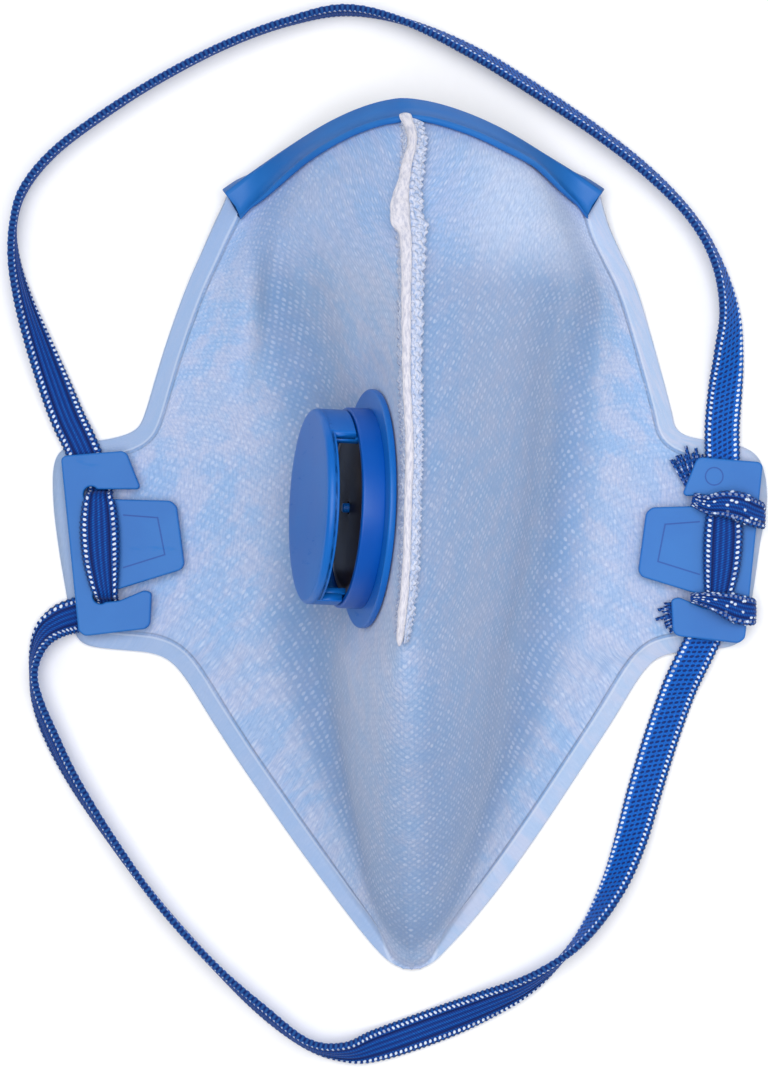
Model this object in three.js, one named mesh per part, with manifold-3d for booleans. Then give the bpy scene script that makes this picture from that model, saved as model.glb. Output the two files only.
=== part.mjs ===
// A half-face anti-smog mask of folded nonwoven cloth, lying open side down.
// Millimetres, +Z up, +Y towards the nose, +X towards the strap clip with the tied strap ends.
// The origin is on the surface it lies on, under the middle of the mask without its straps.
import * as THREE from "three";
import { mergeVertices } from "three/addons/utils/BufferGeometryUtils.js";
import Module from "manifold-3d";

const wasm = await Module();
wasm.setup();

// Driving dimensions.
const CLOTH = 1.2; // thickness of the laminated cloth
const GAP = 0.3; // clearance between neighbouring pieces
const FACE_ROWS = 36; // rows of the cloth mesh from nose to chin
const CROWN_PEAK = 1.2; // how far the round top of a section is drawn up above its ridge
const FLARE_POWER = 1.6; // how fast the flare beside a wall flattens out
const CURL_SOFTENING = 0.01; // rounds the bend of a section where it crosses the ridge
const RIDGE_FADE = 1.5; // beside the ridge, over which the flat valve seat fades in
const SEAT_CENTRE = new THREE.Vector3(-6.6, 4.3, 37);
const SEAT_TILT = 14.5; // degrees that the valve's axis rises above the horizontal
const SEAT_TURN = 2.5; // degrees that it turns towards the nose
const SEAT_RADIUS = 23; // flat cloth under the valve
const SEAT_BLEND = 8; // width over which the cloth curves away again
const PORT_RADIUS = 8;
const PORT_DEPTH = 8; // of the tool that opens the port
const CLIP_GRIP = 4.6; // how far the nose clip reaches over the cloth
const CLIP_ROWS = 5; // rows of the cloth mesh that the nose clip reaches
const CLIP_OVERRUN = 3; // how far its channel is cut past the ends of the nose edge
const SEAM_FIRST_ROW = 1.14; // rows of the section table where the welded seam starts and ends
const SEAM_LAST_ROW = 16.9;
const SEAM_STEPS = 34;
const STRAP_WIDTH = 7;
const STRAP_THICK = 1.6;
const STRAP_PINCHED = 1.1; // thickness under the arms of a strap clip
const KNOT_THICK = 1.3;
const LOOSE_LIFT = 0.6; // a strap that lies lower than this is loose
const HELD_LIFT = 1.2; // one that lies higher than this is held by a clip
const FLOOR_CLEARANCE = 0.05;
const MIDDLE_SHIFT = 1.2; // from the tables' origin to the middle of the mask's own length
const TANGENT_STEP = 0.02; // of a row, for the direction of a curve through a table
const SHORT_STEPS = 3; // steps for each row of a short strap piece
const LATHE_SEGMENTS = 48;
const PIN_SEGMENTS = 20;
const BITE = 0.1; // how far two shapes of one moulding run into each other

const COLOURS = {
  cloth: 0xa9c1e2,
  weld: 0xb9c9e4,
  filter: 0xe6e5ec,
  clip: 0x5389ce,
  valve: 0x2f70c0,
  membrane: 0x3a3c48,
  strap: 0x1f5a99,
};

// One row for each cross-section of the cloth, from the nose to the chin.
// ridge: x, y, z of the middle line. leftFoot, rightFoot: how far out the steep walls reach.
// footZ: height there. leftBow, rightBow: 1 for a straight wall, 0.5 for a round one.
// rootX: where the flat border starts. leftRim, rightRim: how far out the edge is, at rimY and rimZ.
// leftCurl, rightCurl: how the row curves from the ridge to the rim, 1 for straight.
const SECTIONS = table(
  "ridgeX ridgeY ridgeZ leftFoot rightFoot footZ leftBow rightBow rootX leftRim rightRim rimY rimZ"
    + " leftCurl rightCurl",
  [
    [-1.0,  81.2, 25.0, 16.0, 20.0, 15.5, 0.75, 0.75, 32.4, 35.6, 36.4,  65.0, 5.6, 1.65, 1.65],
    [-0.3,  77.4, 28.5, 17.5, 22.0, 16.5, 0.75, 0.75, 33.4, 37.0, 37.2,  62.0, 4.8, 1.65, 1.60],
    [ 0.4,  72.6, 32.5, 19.0, 24.0, 17.5, 0.75, 0.74, 34.8, 38.9, 38.4,  58.5, 3.8, 1.60, 1.55],
    [-0.1,  66.8, 37.0, 20.0, 26.5, 18.0, 0.76, 0.72, 37.0, 41.1, 40.6,  54.0, 2.8, 1.55, 1.50],
    [-0.5,  60.0, 42.0, 20.5, 29.0, 17.5, 0.78, 0.71, 39.6, 43.6, 43.2,  48.8, 2.0, 1.50, 1.45],
    [ 0.1,  52.0, 47.2, 20.0, 30.5, 16.0, 0.82, 0.70, 41.6, 45.9, 45.2,  43.0, 1.5, 1.50, 1.40],
    [ 0.2,  43.5, 52.0, 18.5, 30.0, 14.0, 0.88, 0.69, 43.4, 48.1, 47.0,  36.8, 1.2, 1.50, 1.40],
    [ 0.3,  35.0, 56.2, 16.5, 28.5, 12.5, 0.94, 0.68, 45.2, 50.2, 48.9,  30.0, 1.2, 1.50, 1.40],
    [ 0.5,  27.0, 59.2, 15.2, 27.5, 11.2, 1.00, 0.67, 46.8, 52.1, 50.6,  23.6, 1.2, 1.50, 1.40],
    [ 0.7,  21.5, 60.8, 14.6, 27.0, 10.6, 1.00, 0.67, 47.8, 54.0, 51.6,  20.0, 1.2, 1.50, 1.40],
    [ 0.9,  17.0, 61.6, 14.4, 26.7, 10.2, 1.00, 0.67, 49.0, 59.0, 55.2,  18.2, 1.2, 1.50, 1.40],
    [ 0.9,  12.5, 62.0, 14.4, 26.3, 10.0, 1.00, 0.67, 50.0, 66.8, 63.4,  17.0, 1.2, 1.50, 1.40],
    [ 0.8,   8.0, 62.2, 14.4, 26.0, 10.0, 1.00, 0.67, 50.0, 70.0, 68.0,  13.8, 1.2, 1.50, 1.40],
    [ 0.8,   2.5, 62.3, 14.5, 25.0, 10.0, 1.00, 0.67, 50.0, 70.2, 69.2,   6.0, 1.2, 1.50, 1.40],
    [ 0.7,  -3.5, 62.1, 14.7, 24.0, 10.2, 1.00, 0.67, 50.0, 69.3, 67.8,  -2.0, 1.2, 1.50, 1.40],
    [ 0.5,  -9.5, 61.5, 15.0, 23.0, 10.6, 0.98, 0.66, 50.0, 68.0, 66.7, -10.0, 1.2, 1.50, 1.40],
    [ 0.0, -15.0, 60.3, 15.2, 22.0, 11.0, 0.92, 0.65, 50.0, 66.6, 65.4, -17.0, 1.2, 1.50, 1.40],
    [-0.4, -20.0, 58.6, 15.2, 21.0, 11.0, 0.84, 0.63, 49.6, 64.6, 63.6, -21.8, 1.2, 1.50, 1.40],
    [-0.4, -24.5, 56.4, 15.0, 20.4, 11.0, 0.72, 0.60, 47.2, 57.4, 56.6, -23.0, 1.2, 1.50, 1.40],
    [-0.2, -28.5, 54.0, 14.8, 19.8, 11.0, 0.62, 0.57, 44.8, 50.2, 49.6, -23.8, 1.2, 1.50, 1.40],
    [ 0.0, -33.0, 50.8, 14.5, 19.2, 11.0, 0.56, 0.54, 41.2, 45.4, 45.2, -27.0, 1.2, 1.50, 1.50],
    [ 0.0, -40.0, 45.2, 13.8, 18.0, 10.6, 0.52, 0.52, 35.8, 39.5, 39.5, -36.2, 1.2, 1.60, 1.60],
    [ 0.0, -48.0, 38.0, 12.8, 16.4, 10.0, 0.50, 0.50, 30.2, 33.9, 33.9, -44.8, 1.2, 1.70, 1.70],
    [ 0.0, -56.0, 30.6, 11.4, 14.4,  9.2, 0.50, 0.50, 24.6, 28.1, 28.4, -53.2, 1.2, 1.80, 1.80],
    [ 0.0, -64.0, 22.9, 10.0, 12.2,  7.8, 0.50, 0.50, 18.8, 22.2, 22.7, -61.6, 1.2, 1.90, 1.90],
    [ 0.0, -71.5, 15.7,  8.0,  9.6,  6.0, 0.50, 0.50, 13.2, 16.3, 16.9, -69.6, 1.2, 2.00, 2.00],
    [ 0.0, -78.0,  9.3,  5.6,  6.4,  4.0, 0.50, 0.50,  8.0, 11.0, 11.2, -76.6, 1.2, 2.00, 2.00],
    [ 0.0, -82.5,  4.6,  3.4,  3.8,  2.6, 0.50, 0.50,  5.0,  7.0,  6.8, -81.4, 1.2, 2.00, 2.00],
    [ 0.0, -84.7,  1.6,  1.8,  1.8,  1.3, 0.50, 0.50,  2.8,  4.2,  4.1, -84.0, 1.2, 2.00, 2.00],
    [ 0.0, -85.3,  1.3,  0.5,  0.5,  1.2, 0.50, 0.50,  1.0,  1.8,  1.8, -85.1, 1.2, 2.00, 2.00],
  ],
);

// Where the cloth is sampled across a section: down the wall, round its foot, out to the border.
const WALL_DROPS = [0.055, 0.1, 0.17, 0.26, 0.36, 0.48, 0.6, 0.71, 0.82];
const FLARE_STEPS = [0.2, 0.34, 0.5, 0.66, 0.83, 1];
const BORDER_STEPS = [0.35, 0.7, 1];
const ROUND_STEPS = [0.33, 0.67];
const CROWN_STEPS = [0.25, 0.5, 0.75];

// The middle line of each free strap: where it lies, how high its lower edge is, and its roll.
// A roll of 0 lies flat and 90 stands on edge.
const UPPER_STRAP = table("x y lift roll", [
  [-61.9,   10.2, 1.60,   0],
  [-63.2,   13.4, 1.60,   0],
  [-65.0,   17.6, 1.45,   1],
  [-67.4,   22.6, 0.60,  10],
  [-70.3,   30.0, 0.10,  28],
  [-73.2,   37.8, 0.10,  49],
  [-75.8,   45.4, 0.10,  68],
  [-77.6,   53.0, 0.10,  84],
  [-77.8,   60.0, 0.10,  95],
  [-75.8,   66.8, 0.10,  93],
  [-70.2,   73.8, 0.10,  93],
  [-61.4,   80.6, 0.10,  93],
  [-49.6,   88.1, 0.10,  94],
  [-36.4,   94.9, 0.10,  94],
  [-24.2,   99.4, 0.10,  92],
  [-12.8,  101.6, 0.10,  86],
  [ -1.2,   99.3, 0.10,  96],
  [ 11.8,   93.4, 0.10, 109],
  [ 24.2,   85.8, 0.10, 110],
  [ 36.4,   77.5, 0.10, 107],
  [ 46.6,   69.3, 0.10, 105],
  [ 54.6,   60.8, 0.10, 101],
  [ 59.4,   52.2, 0.10, 104],
  [ 61.7,   43.2, 0.10, 122],
  [ 61.6,   34.8, 0.10, 148],
  [ 60.9,   26.6, 0.10, 174],
  [ 60.4,   20.4, 1.10, 180],
  [ 60.4,   15.0, 1.60, 180],
  [ 60.4,    8.6, 1.60, 180],
]);
const LOWER_STRAP = table("x y lift roll", [
  [-62.4,  -15.3, 1.55,   0],
  [-65.6,  -16.2, 1.22,   1],
  [-68.8,  -17.5, 1.10,  20],
  [-71.5,  -19.8, 0.50,  44],
  [-73.1,  -23.2, 0.10,  66],
  [-73.7,  -27.8, 0.10,  80],
  [-72.9,  -33.0, 0.10,  72],
  [-70.4,  -39.6, 0.10,  65],
  [-65.9,  -48.4, 0.10,  70],
  [-58.4,  -60.0, 0.10,  78],
  [-49.3,  -72.4, 0.10,  84],
  [-38.6,  -84.2, 0.10,  82],
  [-28.9,  -93.2, 0.10,  72],
  [-20.4,  -99.5, 0.10,  74],
  [-13.2, -101.2, 0.10,  54],
  [ -6.2,  -99.9, 0.10,  16],
  [  4.0,  -96.4, 0.10,   5],
  [ 13.6,  -92.4, 0.10,  26],
  [ 22.4,  -88.0, 0.10,  56],
  [ 29.8,  -82.2, 0.10,  88],
  [ 34.9,  -76.2, 0.10, 110],
  [ 39.5,  -68.2, 0.10, 134],
  [ 42.6,  -60.0, 0.10, 156],
  [ 45.3,  -50.6, 0.10, 172],
  [ 48.4,  -40.6, 0.10, 178],
  [ 51.6,  -31.6, 0.30, 180],
  [ 53.4,  -27.4, 1.50, 180],
  [ 55.2,  -23.8, 1.70, 180],
  [ 57.2,  -19.8, 1.60, 180],
  [ 58.6,  -17.0, 1.60, 180],
]);
const UPPER_STEPS = 42;
const LOWER_STEPS = 38;

// The left strap clip, seen from above. The right one is its mirror image.
const CLIP_PLATE_BASE = 3.0;
const CLIP_PLATE_TOP = 4.8;
const CLIP_SEAT_BASE = CLOTH + GAP;
const CLIP_BEVEL = 0.35;
const CLIP_MIRROR_SHIFT = new THREE.Vector2(-0.2, -1.3);
const TOOL_REACH = 200; // a cutting box wider than the whole mask

function table(columns, rows) {
  const names = columns.split(/\s+/);
  return rows.map((row) => Object.fromEntries(names.map((name, i) => [name, row[i]])));
}

// A smooth curve through equally spaced values, read between them.
function smoothValue(values, position) {
  const last = values.length - 1;
  const i = Math.min(Math.floor(position), last - 1);
  const t = position - i;
  const [p1, p2] = [values[i], values[i + 1]];
  const p0 = i > 0 ? values[i - 1] : 2 * p1 - p2;
  const p3 = i + 2 <= last ? values[i + 2] : 2 * p2 - p1;
  const cubic = -p0 + 3 * p1 - 3 * p2 + p3;
  const square = 2 * p0 - 5 * p1 + 4 * p2 - p3;
  return p1 + 0.5 * t * (p2 - p0 + t * (square + t * cubic));
}

function smoothRow(rows, position) {
  const names = Object.keys(rows[0]);
  return Object.fromEntries(
    names.map((name) => [name, smoothValue(rows.map((row) => row[name]), position)]),
  );
}

function smoothStep(t) {
  const s = THREE.MathUtils.clamp(t, 0, 1);
  return s * s * (3 - 2 * s);
}

function quadratic(a, b, c, t) {
  return a.clone().multiplyScalar((1 - t) ** 2)
    .addScaledVector(b, 2 * t * (1 - t))
    .addScaledVector(c, t * t);
}

// The axis of the valve, and the direction up the slope of its seat.
function seatAxis() {
  const tilt = THREE.MathUtils.degToRad(SEAT_TILT);
  const turn = THREE.MathUtils.degToRad(SEAT_TURN);
  const flat = Math.cos(tilt);
  return new THREE.Vector3(-flat * Math.cos(turn), flat * Math.sin(turn), Math.sin(tilt));
}

// One half of a cross-section, from the top of the wall to the rim, as (x, z).
function halfSection(row, side) {
  const foot = side < 0 ? row.leftFoot : row.rightFoot;
  const bow = side < 0 ? row.leftBow : row.rightBow;
  const rim = side < 0 ? row.leftRim : row.rightRim;
  const drop = row.ridgeZ - row.footZ;
  const flareEnd = row.rootX - foot;
  const wall = (d) =>
    new THREE.Vector2(row.ridgeX + side * foot * d ** bow, row.ridgeZ - drop * d);
  const flare = (t) => new THREE.Vector2(
    row.ridgeX * (1 - t) + side * (foot + flareEnd * t),
    row.rimZ + (row.footZ - row.rimZ) * (1 - t) ** FLARE_POWER,
  );
  const points = WALL_DROPS.map(wall);
  const corner = wall(1);
  for (const t of ROUND_STEPS) {
    points.push(quadratic(wall(WALL_DROPS.at(-1)), corner, flare(FLARE_STEPS[0]), t));
  }
  points.push(...FLARE_STEPS.map(flare));
  for (const t of BORDER_STEPS) {
    points.push(new THREE.Vector2(side * (row.rootX + (rim - row.rootX) * t), row.rimZ));
  }
  return points;
}

// A whole cross-section from the left rim to the right rim, as points in space.
function section(position) {
  const row = smoothRow(SECTIONS, position);
  const left = halfSection(row, -1);
  const right = halfSection(row, 1);
  const peak = new THREE.Vector2(row.ridgeX, row.ridgeZ + CROWN_PEAK);
  const crown = CROWN_STEPS.map((t) => quadratic(left[0], peak, right[0], t));
  return [...left.reverse(), ...crown, ...right].map((point) => {
    const onLeft = point.x < row.ridgeX;
    const curl = onLeft ? row.leftCurl : row.rightCurl;
    const rimX = onLeft ? -row.leftRim : row.rightRim;
    const across = Math.abs(point.x - row.ridgeX) / Math.abs(rimX - row.ridgeX);
    const softened = (value) => (value ** 2 + CURL_SOFTENING) ** (curl / 2);
    const bend = (softened(across) - softened(0)) / (softened(1) - softened(0));
    const y = row.ridgeY + (row.rimY - row.ridgeY) * bend;
    return flattenSeat(new THREE.Vector3(point.x, y, point.y), row.ridgeX);
  });
}

// The stiff valve flange pulls the left wall flat under it.
function flattenSeat(point, ridgeX) {
  const axis = seatAxis();
  const away = point.clone().sub(SEAT_CENTRE);
  const height = away.dot(axis);
  const radius = away.addScaledVector(axis, -height).length();
  const weight = smoothStep((SEAT_RADIUS + SEAT_BLEND - radius) / SEAT_BLEND);
  const leftOnly = smoothStep((ridgeX - point.x) / RIDGE_FADE);
  return point.addScaledVector(axis, -height * weight * leftOnly);
}

function clothGrid() {
  const last = SECTIONS.length - 1;
  const rows = [];
  for (let i = 0; i < FACE_ROWS; i++) {
    rows.push(section((last * i) / (FACE_ROWS - 1)));
  }
  return rows;
}

// Unit normals of a grid of points, pointing to the outside of the mask.
function gridNormals(grid) {
  const near = (list, i) => list[THREE.MathUtils.clamp(i, 0, list.length - 1)];
  return grid.map((row, i) => row.map((_, j) => {
    const across = near(row, j + 1).clone().sub(near(row, j - 1));
    const along = near(grid, i - 1)[j].clone().sub(near(grid, i + 1)[j]);
    return across.cross(along).normalize();
  }));
}

// A closed wall between an outer and an inner grid of points.
function wallGeometry(outer, inner) {
  const rows = outer.length;
  const columns = outer[0].length;
  const positions = [...outer.flat(), ...inner.flat()].flatMap((p) => p.toArray());
  const top = (i, j) => i * columns + j;
  const under = (i, j) => (rows + i) * columns + j;
  const index = [];
  const quad = (a, b, c, d) => index.push(a, b, c, a, c, d);
  for (let i = 0; i < rows - 1; i++) {
    for (let j = 0; j < columns - 1; j++) {
      quad(top(i, j), top(i + 1, j), top(i + 1, j + 1), top(i, j + 1));
      quad(under(i, j), under(i, j + 1), under(i + 1, j + 1), under(i + 1, j));
    }
    quad(top(i, 0), under(i, 0), under(i + 1, 0), top(i + 1, 0));
    quad(top(i, columns - 1), top(i + 1, columns - 1), under(i + 1, columns - 1), under(i, columns - 1));
  }
  for (let j = 0; j < columns - 1; j++) {
    quad(top(0, j), top(0, j + 1), under(0, j + 1), under(0, j));
    quad(top(rows - 1, j), under(rows - 1, j), under(rows - 1, j + 1), top(rows - 1, j + 1));
  }
  const geometry = new THREE.BufferGeometry();
  geometry.setAttribute("position", new THREE.Float32BufferAttribute(positions, 3));
  geometry.setIndex(index);
  return geometry;
}

function toSolid(geometry) {
  const bare = geometry.clone();
  bare.deleteAttribute("normal");
  bare.deleteAttribute("uv");
  const merged = mergeVertices(bare, 1e-4);
  return new wasm.Manifold(new wasm.Mesh({
    numProp: 3,
    vertProperties: new Float32Array(merged.attributes.position.array),
    triVerts: new Uint32Array(merged.index.array),
  }));
}

function toGeometry(solid) {
  const mesh = solid.getMesh();
  const geometry = new THREE.BufferGeometry();
  geometry.setAttribute("position", new THREE.BufferAttribute(mesh.vertProperties, 3));
  geometry.setIndex(new THREE.BufferAttribute(mesh.triVerts, 1));
  geometry.computeVertexNormals();
  return geometry;
}

function joined(...geometries) {
  return toGeometry(geometries.map(toSolid).reduce((whole, piece) => whole.add(piece)));
}

function cut(geometry, ...tools) {
  return toGeometry(tools.map(toSolid).reduce((whole, tool) => whole.subtract(tool), toSolid(geometry)));
}

function part(name, geometry, colour, roughness) {
  const material = new THREE.MeshStandardMaterial({ color: colour, roughness, metalness: 0 });
  const mesh = new THREE.Mesh(geometry, material);
  mesh.name = name;
  return mesh;
}

// A section of (side, up) points carried along frames that have a place and two directions.
function sweep(outline, frames) {
  const steps = frames.length - 1;
  const settings = { depth: steps, steps, bevelEnabled: false };
  const geometry = new THREE.ExtrudeGeometry(new THREE.Shape(outline), settings);
  const position = geometry.attributes.position;
  for (let i = 0; i < position.count; i++) {
    const frame = frames[Math.round(position.getZ(i))];
    const point = frame.place.clone()
      .addScaledVector(frame.side, position.getX(i))
      .addScaledVector(frame.up, position.getY(i));
    position.setXYZ(i, ...point.toArray());
  }
  geometry.computeVertexNormals();
  return geometry;
}

const outlineOf = (pairs) => pairs.map(([x, y]) => new THREE.Vector2(x, y));

function buildFacepiece(grid, normals) {
  const inner = grid.map((row, i) => row.map((point, j) =>
    point.clone().addScaledVector(normals[i][j], -CLOTH)));
  const port = new THREE.CylinderGeometry(PORT_RADIUS, PORT_RADIUS, PORT_DEPTH, LATHE_SEGMENTS / 2);
  placeOnSeat(port, 0);
  return part("facepiece", cut(wallGeometry(grid, inner), port), COLOURS.cloth, 0.95);
}

// Stands a lathed or cylindrical shape, made about +Y, on the valve seat.
function placeOnSeat(geometry, height) {
  const axis = seatAxis();
  const across = new THREE.Vector3(0, 1, 0).addScaledVector(axis, -axis.y).normalize();
  const downSlope = axis.clone().cross(across);
  const basis = new THREE.Matrix4().makeBasis(downSlope, axis, downSlope.clone().cross(axis));
  basis.setPosition(SEAT_CENTRE.clone().addScaledVector(axis, height));
  return geometry.applyMatrix4(basis);
}

// Frames along the ridge of the cloth, as far as the seam runs.
function ridgeFrames() {
  const point = (position) => {
    const row = smoothRow(SECTIONS, position);
    return new THREE.Vector3(row.ridgeX, row.ridgeY, row.ridgeZ);
  };
  const frames = [];
  for (let i = 0; i <= SEAM_STEPS; i++) {
    const position = SEAM_FIRST_ROW + ((SEAM_LAST_ROW - SEAM_FIRST_ROW) * i) / SEAM_STEPS;
    const forward = point(position + TANGENT_STEP).sub(point(position - TANGENT_STEP)).normalize();
    const side = new THREE.Vector3(1, 0, 0);
    const up = forward.clone().cross(side).normalize();
    frames.push({ place: point(position), side, up });
  }
  return frames;
}

// The welded edges of the two cheek panels: two flaps with a groove between them.
function buildSeamAllowance() {
  const flaps = outlineOf([
    [-1.95, -0.2], [-1.95, 0.4], [-1.5, 2.0], [-1.02, 2.2], [-1.02, 0.95], [1.02, 0.95],
    [1.02, 2.2], [1.6, 2.0], [3.0, 0.2], [3.0, -0.4], [1.2, 0.4], [-1.1, 0.4],
  ]);
  return part("seam_allowance", sweep(flaps, ridgeFrames()), COLOURS.weld, 0.8);
}

// The white filter layer that shows between the flaps.
function buildSeamCore() {
  const strip = outlineOf([[-0.72, 1.2], [0.72, 1.2], [0.66, 3.0], [0.3, 3.3], [-0.3, 3.3], [-0.66, 3.0]]);
  return part("seam_core", sweep(strip, ridgeFrames()), COLOURS.filter, 0.9);
}

// The foot of a point on the cloth near the nose edge.
function ontoCloth(point, grid, normals) {
  let best = Infinity;
  const foot = point.clone();
  for (let i = 0; i < CLIP_ROWS - 1; i++) {
    grid[i].forEach((vertex, j) => {
      const distance = vertex.distanceTo(point);
      if (distance < best) {
        best = distance;
        const height = point.clone().sub(vertex).dot(normals[i][j]);
        foot.copy(point).addScaledVector(normals[i][j], -height);
      }
    });
  }
  return foot;
}

// The cloth near the nose edge, thicker all round by the clearance.
function clothEnvelope(grid, normals) {
  const rows = grid.slice(0, CLIP_ROWS);
  const offset = (distance) => rows.map((row, i) => row.map((point, j) =>
    point.clone().addScaledVector(normals[i][j], distance)));
  const outer = offset(GAP);
  const inner = offset(-CLOTH - GAP);
  for (const layer of [outer, inner]) {
    const beyond = layer[0].map((point, j) =>
      point.clone().add(point.clone().sub(layer[1][j]).setLength(GAP)));
    layer.unshift(beyond);
    for (const row of layer) {
      const [first, second] = row;
      const [last, previous] = [row.at(-1), row.at(-2)];
      row.unshift(first.clone().add(first.clone().sub(second).setLength(CLIP_OVERRUN)));
      row.push(last.clone().add(last.clone().sub(previous).setLength(CLIP_OVERRUN)));
    }
  }
  return wallGeometry(outer, inner);
}

// The plastic channel that grips the nose edge of the cloth, with a rolled lip along its lower side.
function buildNoseClip(grid, normals) {
  const block = outlineOf([
    [1.2, -CLOTH - 1.1], [1.2, 0.8], [0.8, 1.2], [-4.2, 1.2], [-4.5, 1.7], [-5.2, 1.7], [-5.5, 1.2],
    [-5.4, 0.4], [-4.9, -CLOTH - 1.1],
  ]);
  const edge = grid[0];
  const frames = edge.map((place, j) => {
    const before = edge[Math.max(j - 1, 0)];
    const after = edge[Math.min(j + 1, edge.length - 1)];
    const forward = after.clone().sub(before).normalize();
    const outward = normals[0][j].clone().cross(forward).normalize();
    const inside = ontoCloth(place.clone().addScaledVector(outward, -CLIP_GRIP), grid, normals);
    const side = place.clone().sub(inside);
    side.addScaledVector(forward, -side.dot(forward)).normalize();
    return { place, side, up: forward.clone().cross(side) };
  });
  const channel = cut(sweep(block, frames), clothEnvelope(grid, normals));
  return part("nose_clip", channel, COLOURS.clip, 0.35);
}

function ring(innerRadius, outerRadius, base, top) {
  const profile = outlineOf([
    [innerRadius, base], [outerRadius, base], [outerRadius, top], [innerRadius, top], [innerRadius, base],
  ]);
  return new THREE.LatheGeometry(profile, LATHE_SEGMENTS);
}

// Heights above the cloth along the valve's axis.
const VALVE = {
  flangeRadius: 22.3,
  flangeTop: 1.6,
  collarRadius: 18.7,
  collarInner: 17.2,
  collarTop: 5.8,
  ledgeInner: 13.4,
  ledgeOuter: 15.2,
  ledgeTop: 3.6,
  hubRadius: 2.2,
  pinRadius: 0.9,
  pinTop: 5.6,
  spokeWidth: 1.4,
  membraneRadius: 16.2,
  membraneThick: 0.6,
  capRadius: 18.2,
  capInner: 16.7,
  capUnder: 10.7,
  capTop: 12.2,
  capEdge: 1,
  lugInner: 15.7,
  lugOuter: 16.8,
  lugBase: 5.4,
  windowHalf: 60,
  windowCentre: -12,
};

// Flange, collar and membrane ledge in one, with spokes and a pin in the port.
function buildValveBase() {
  const v = VALVE;
  const plate = ring(PORT_RADIUS, v.flangeRadius, GAP, v.flangeTop);
  const collar = ring(v.collarInner, v.collarRadius, v.flangeTop - BITE, v.collarTop);
  const ledge = ring(v.ledgeInner, v.ledgeOuter, v.flangeTop - BITE, v.ledgeTop);
  const hub = new THREE.CylinderGeometry(v.hubRadius, v.hubRadius, v.ledgeTop - GAP, PIN_SEGMENTS);
  hub.translate(0, (v.ledgeTop + GAP) / 2, 0);
  const pin = new THREE.CylinderGeometry(v.pinRadius, v.pinRadius, v.pinTop - v.flangeTop, PIN_SEGMENTS);
  pin.translate(0, (v.pinTop + v.flangeTop) / 2, 0);
  const spokes = [0, 60, 120].map((degrees) => {
    const spoke = new THREE.BoxGeometry(2 * (PORT_RADIUS + 1), v.flangeTop - GAP - BITE, v.spokeWidth);
    spoke.translate(0, (v.flangeTop + GAP) / 2, 0);
    return spoke.rotateY(THREE.MathUtils.degToRad(degrees));
  });
  const base = joined(plate, collar, ledge, hub, pin, ...spokes);
  return part("valve_base", placeOnSeat(base, 0), COLOURS.valve, 0.3);
}

function buildValveMembrane() {
  const v = VALVE;
  const base = v.ledgeTop + GAP;
  const disc = ring(v.pinRadius + GAP, v.membraneRadius, base, base + v.membraneThick);
  return part("valve_membrane", placeOnSeat(disc, 0), COLOURS.membrane, 0.4);
}

// A round cover on two curved posts, whose lugs sit inside the collar.
function buildValveCap() {
  const v = VALVE;
  const cover = new THREE.LatheGeometry(outlineOf([
    [0, v.capUnder], [v.capRadius, v.capUnder], [v.capRadius, v.capTop - v.capEdge],
    [v.capRadius - 0.3 * v.capEdge, v.capTop - 0.3 * v.capEdge], [v.capRadius - v.capEdge, v.capTop],
    [0, v.capTop],
  ]), LATHE_SEGMENTS);
  const skirt = ring(v.capInner, v.capRadius, v.collarTop + GAP, v.capUnder + BITE);
  const lugs = ring(v.lugInner, v.lugOuter, v.lugBase, v.capUnder + BITE);
  const windows = [v.windowCentre, 180 + v.windowCentre].map((degrees) => windowTool(degrees));
  const walls = cut(joined(skirt, lugs), ...windows);
  return part("valve_cap", placeOnSeat(joined(cover, walls), 0), COLOURS.valve, 0.3);
}

// A wedge that opens one window of the cap, centred on an angle from the slope's downward side.
function windowTool(degrees) {
  const v = VALVE;
  const half = THREE.MathUtils.degToRad(v.windowHalf);
  const reach = 2 * v.capRadius;
  const corner = (angle) => [reach * Math.cos(angle), reach * Math.sin(angle)];
  const wedge = new THREE.Shape(outlineOf([[0, 0], ...[-1, -0.5, 0.5, 1].map((t) => corner(t * half))]));
  const height = v.capUnder - v.lugBase + 1;
  const tool = new THREE.ExtrudeGeometry(wedge, { depth: height, bevelEnabled: false });
  tool.rotateX(-Math.PI / 2);
  tool.translate(0, v.lugBase - 1, 0);
  return tool.rotateY(THREE.MathUtils.degToRad(degrees));
}

// A place on the left clip, or the mirrored place on the right one.
function onClip(side, x, y) {
  const shift = side > 0 ? CLIP_MIRROR_SHIFT : new THREE.Vector2(0, 0);
  return new THREE.Vector2(-side * x + shift.x, y + shift.y);
}

// A spine, two arms and a tongue, with a slot at each side of the tongue.
const CLIP_OUTLINE = [
  [-67.6, 14.9], [-56.3, 15.8], [-55.4, 15.2], [-52.9, 8.9], [-53.3, 8.3], [-62.4, 8.3], [-62.4, 6.5],
  [-46.9, 6.1], [-45.7, 5.0], [-44.2, -6.3], [-44.9, -7.4], [-57.2, -11.2], [-60.6, -11.4],
  [-60.6, -13.6], [-57.0, -13.4], [-52.0, -11.3], [-50.6, -11.8], [-50.9, -18.0], [-51.8, -18.9],
  [-63.6, -20.3], [-64.9, -19.3], [-68.3, 14.2],
];
const CLIP_SLOT_ENDS = [[-62.4, 7.4], [-60.6, -12.5]];
const CLIP_SLOT_RADIUS = 1.5;
// The seat under the tongue is welded to the tab.
const CLIP_SEAT = [[-67.0, 5.6], [-50.8, 5.3], [-50.4, -7.8], [-57.4, -9.9], [-65.3, -9.9]];

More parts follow.
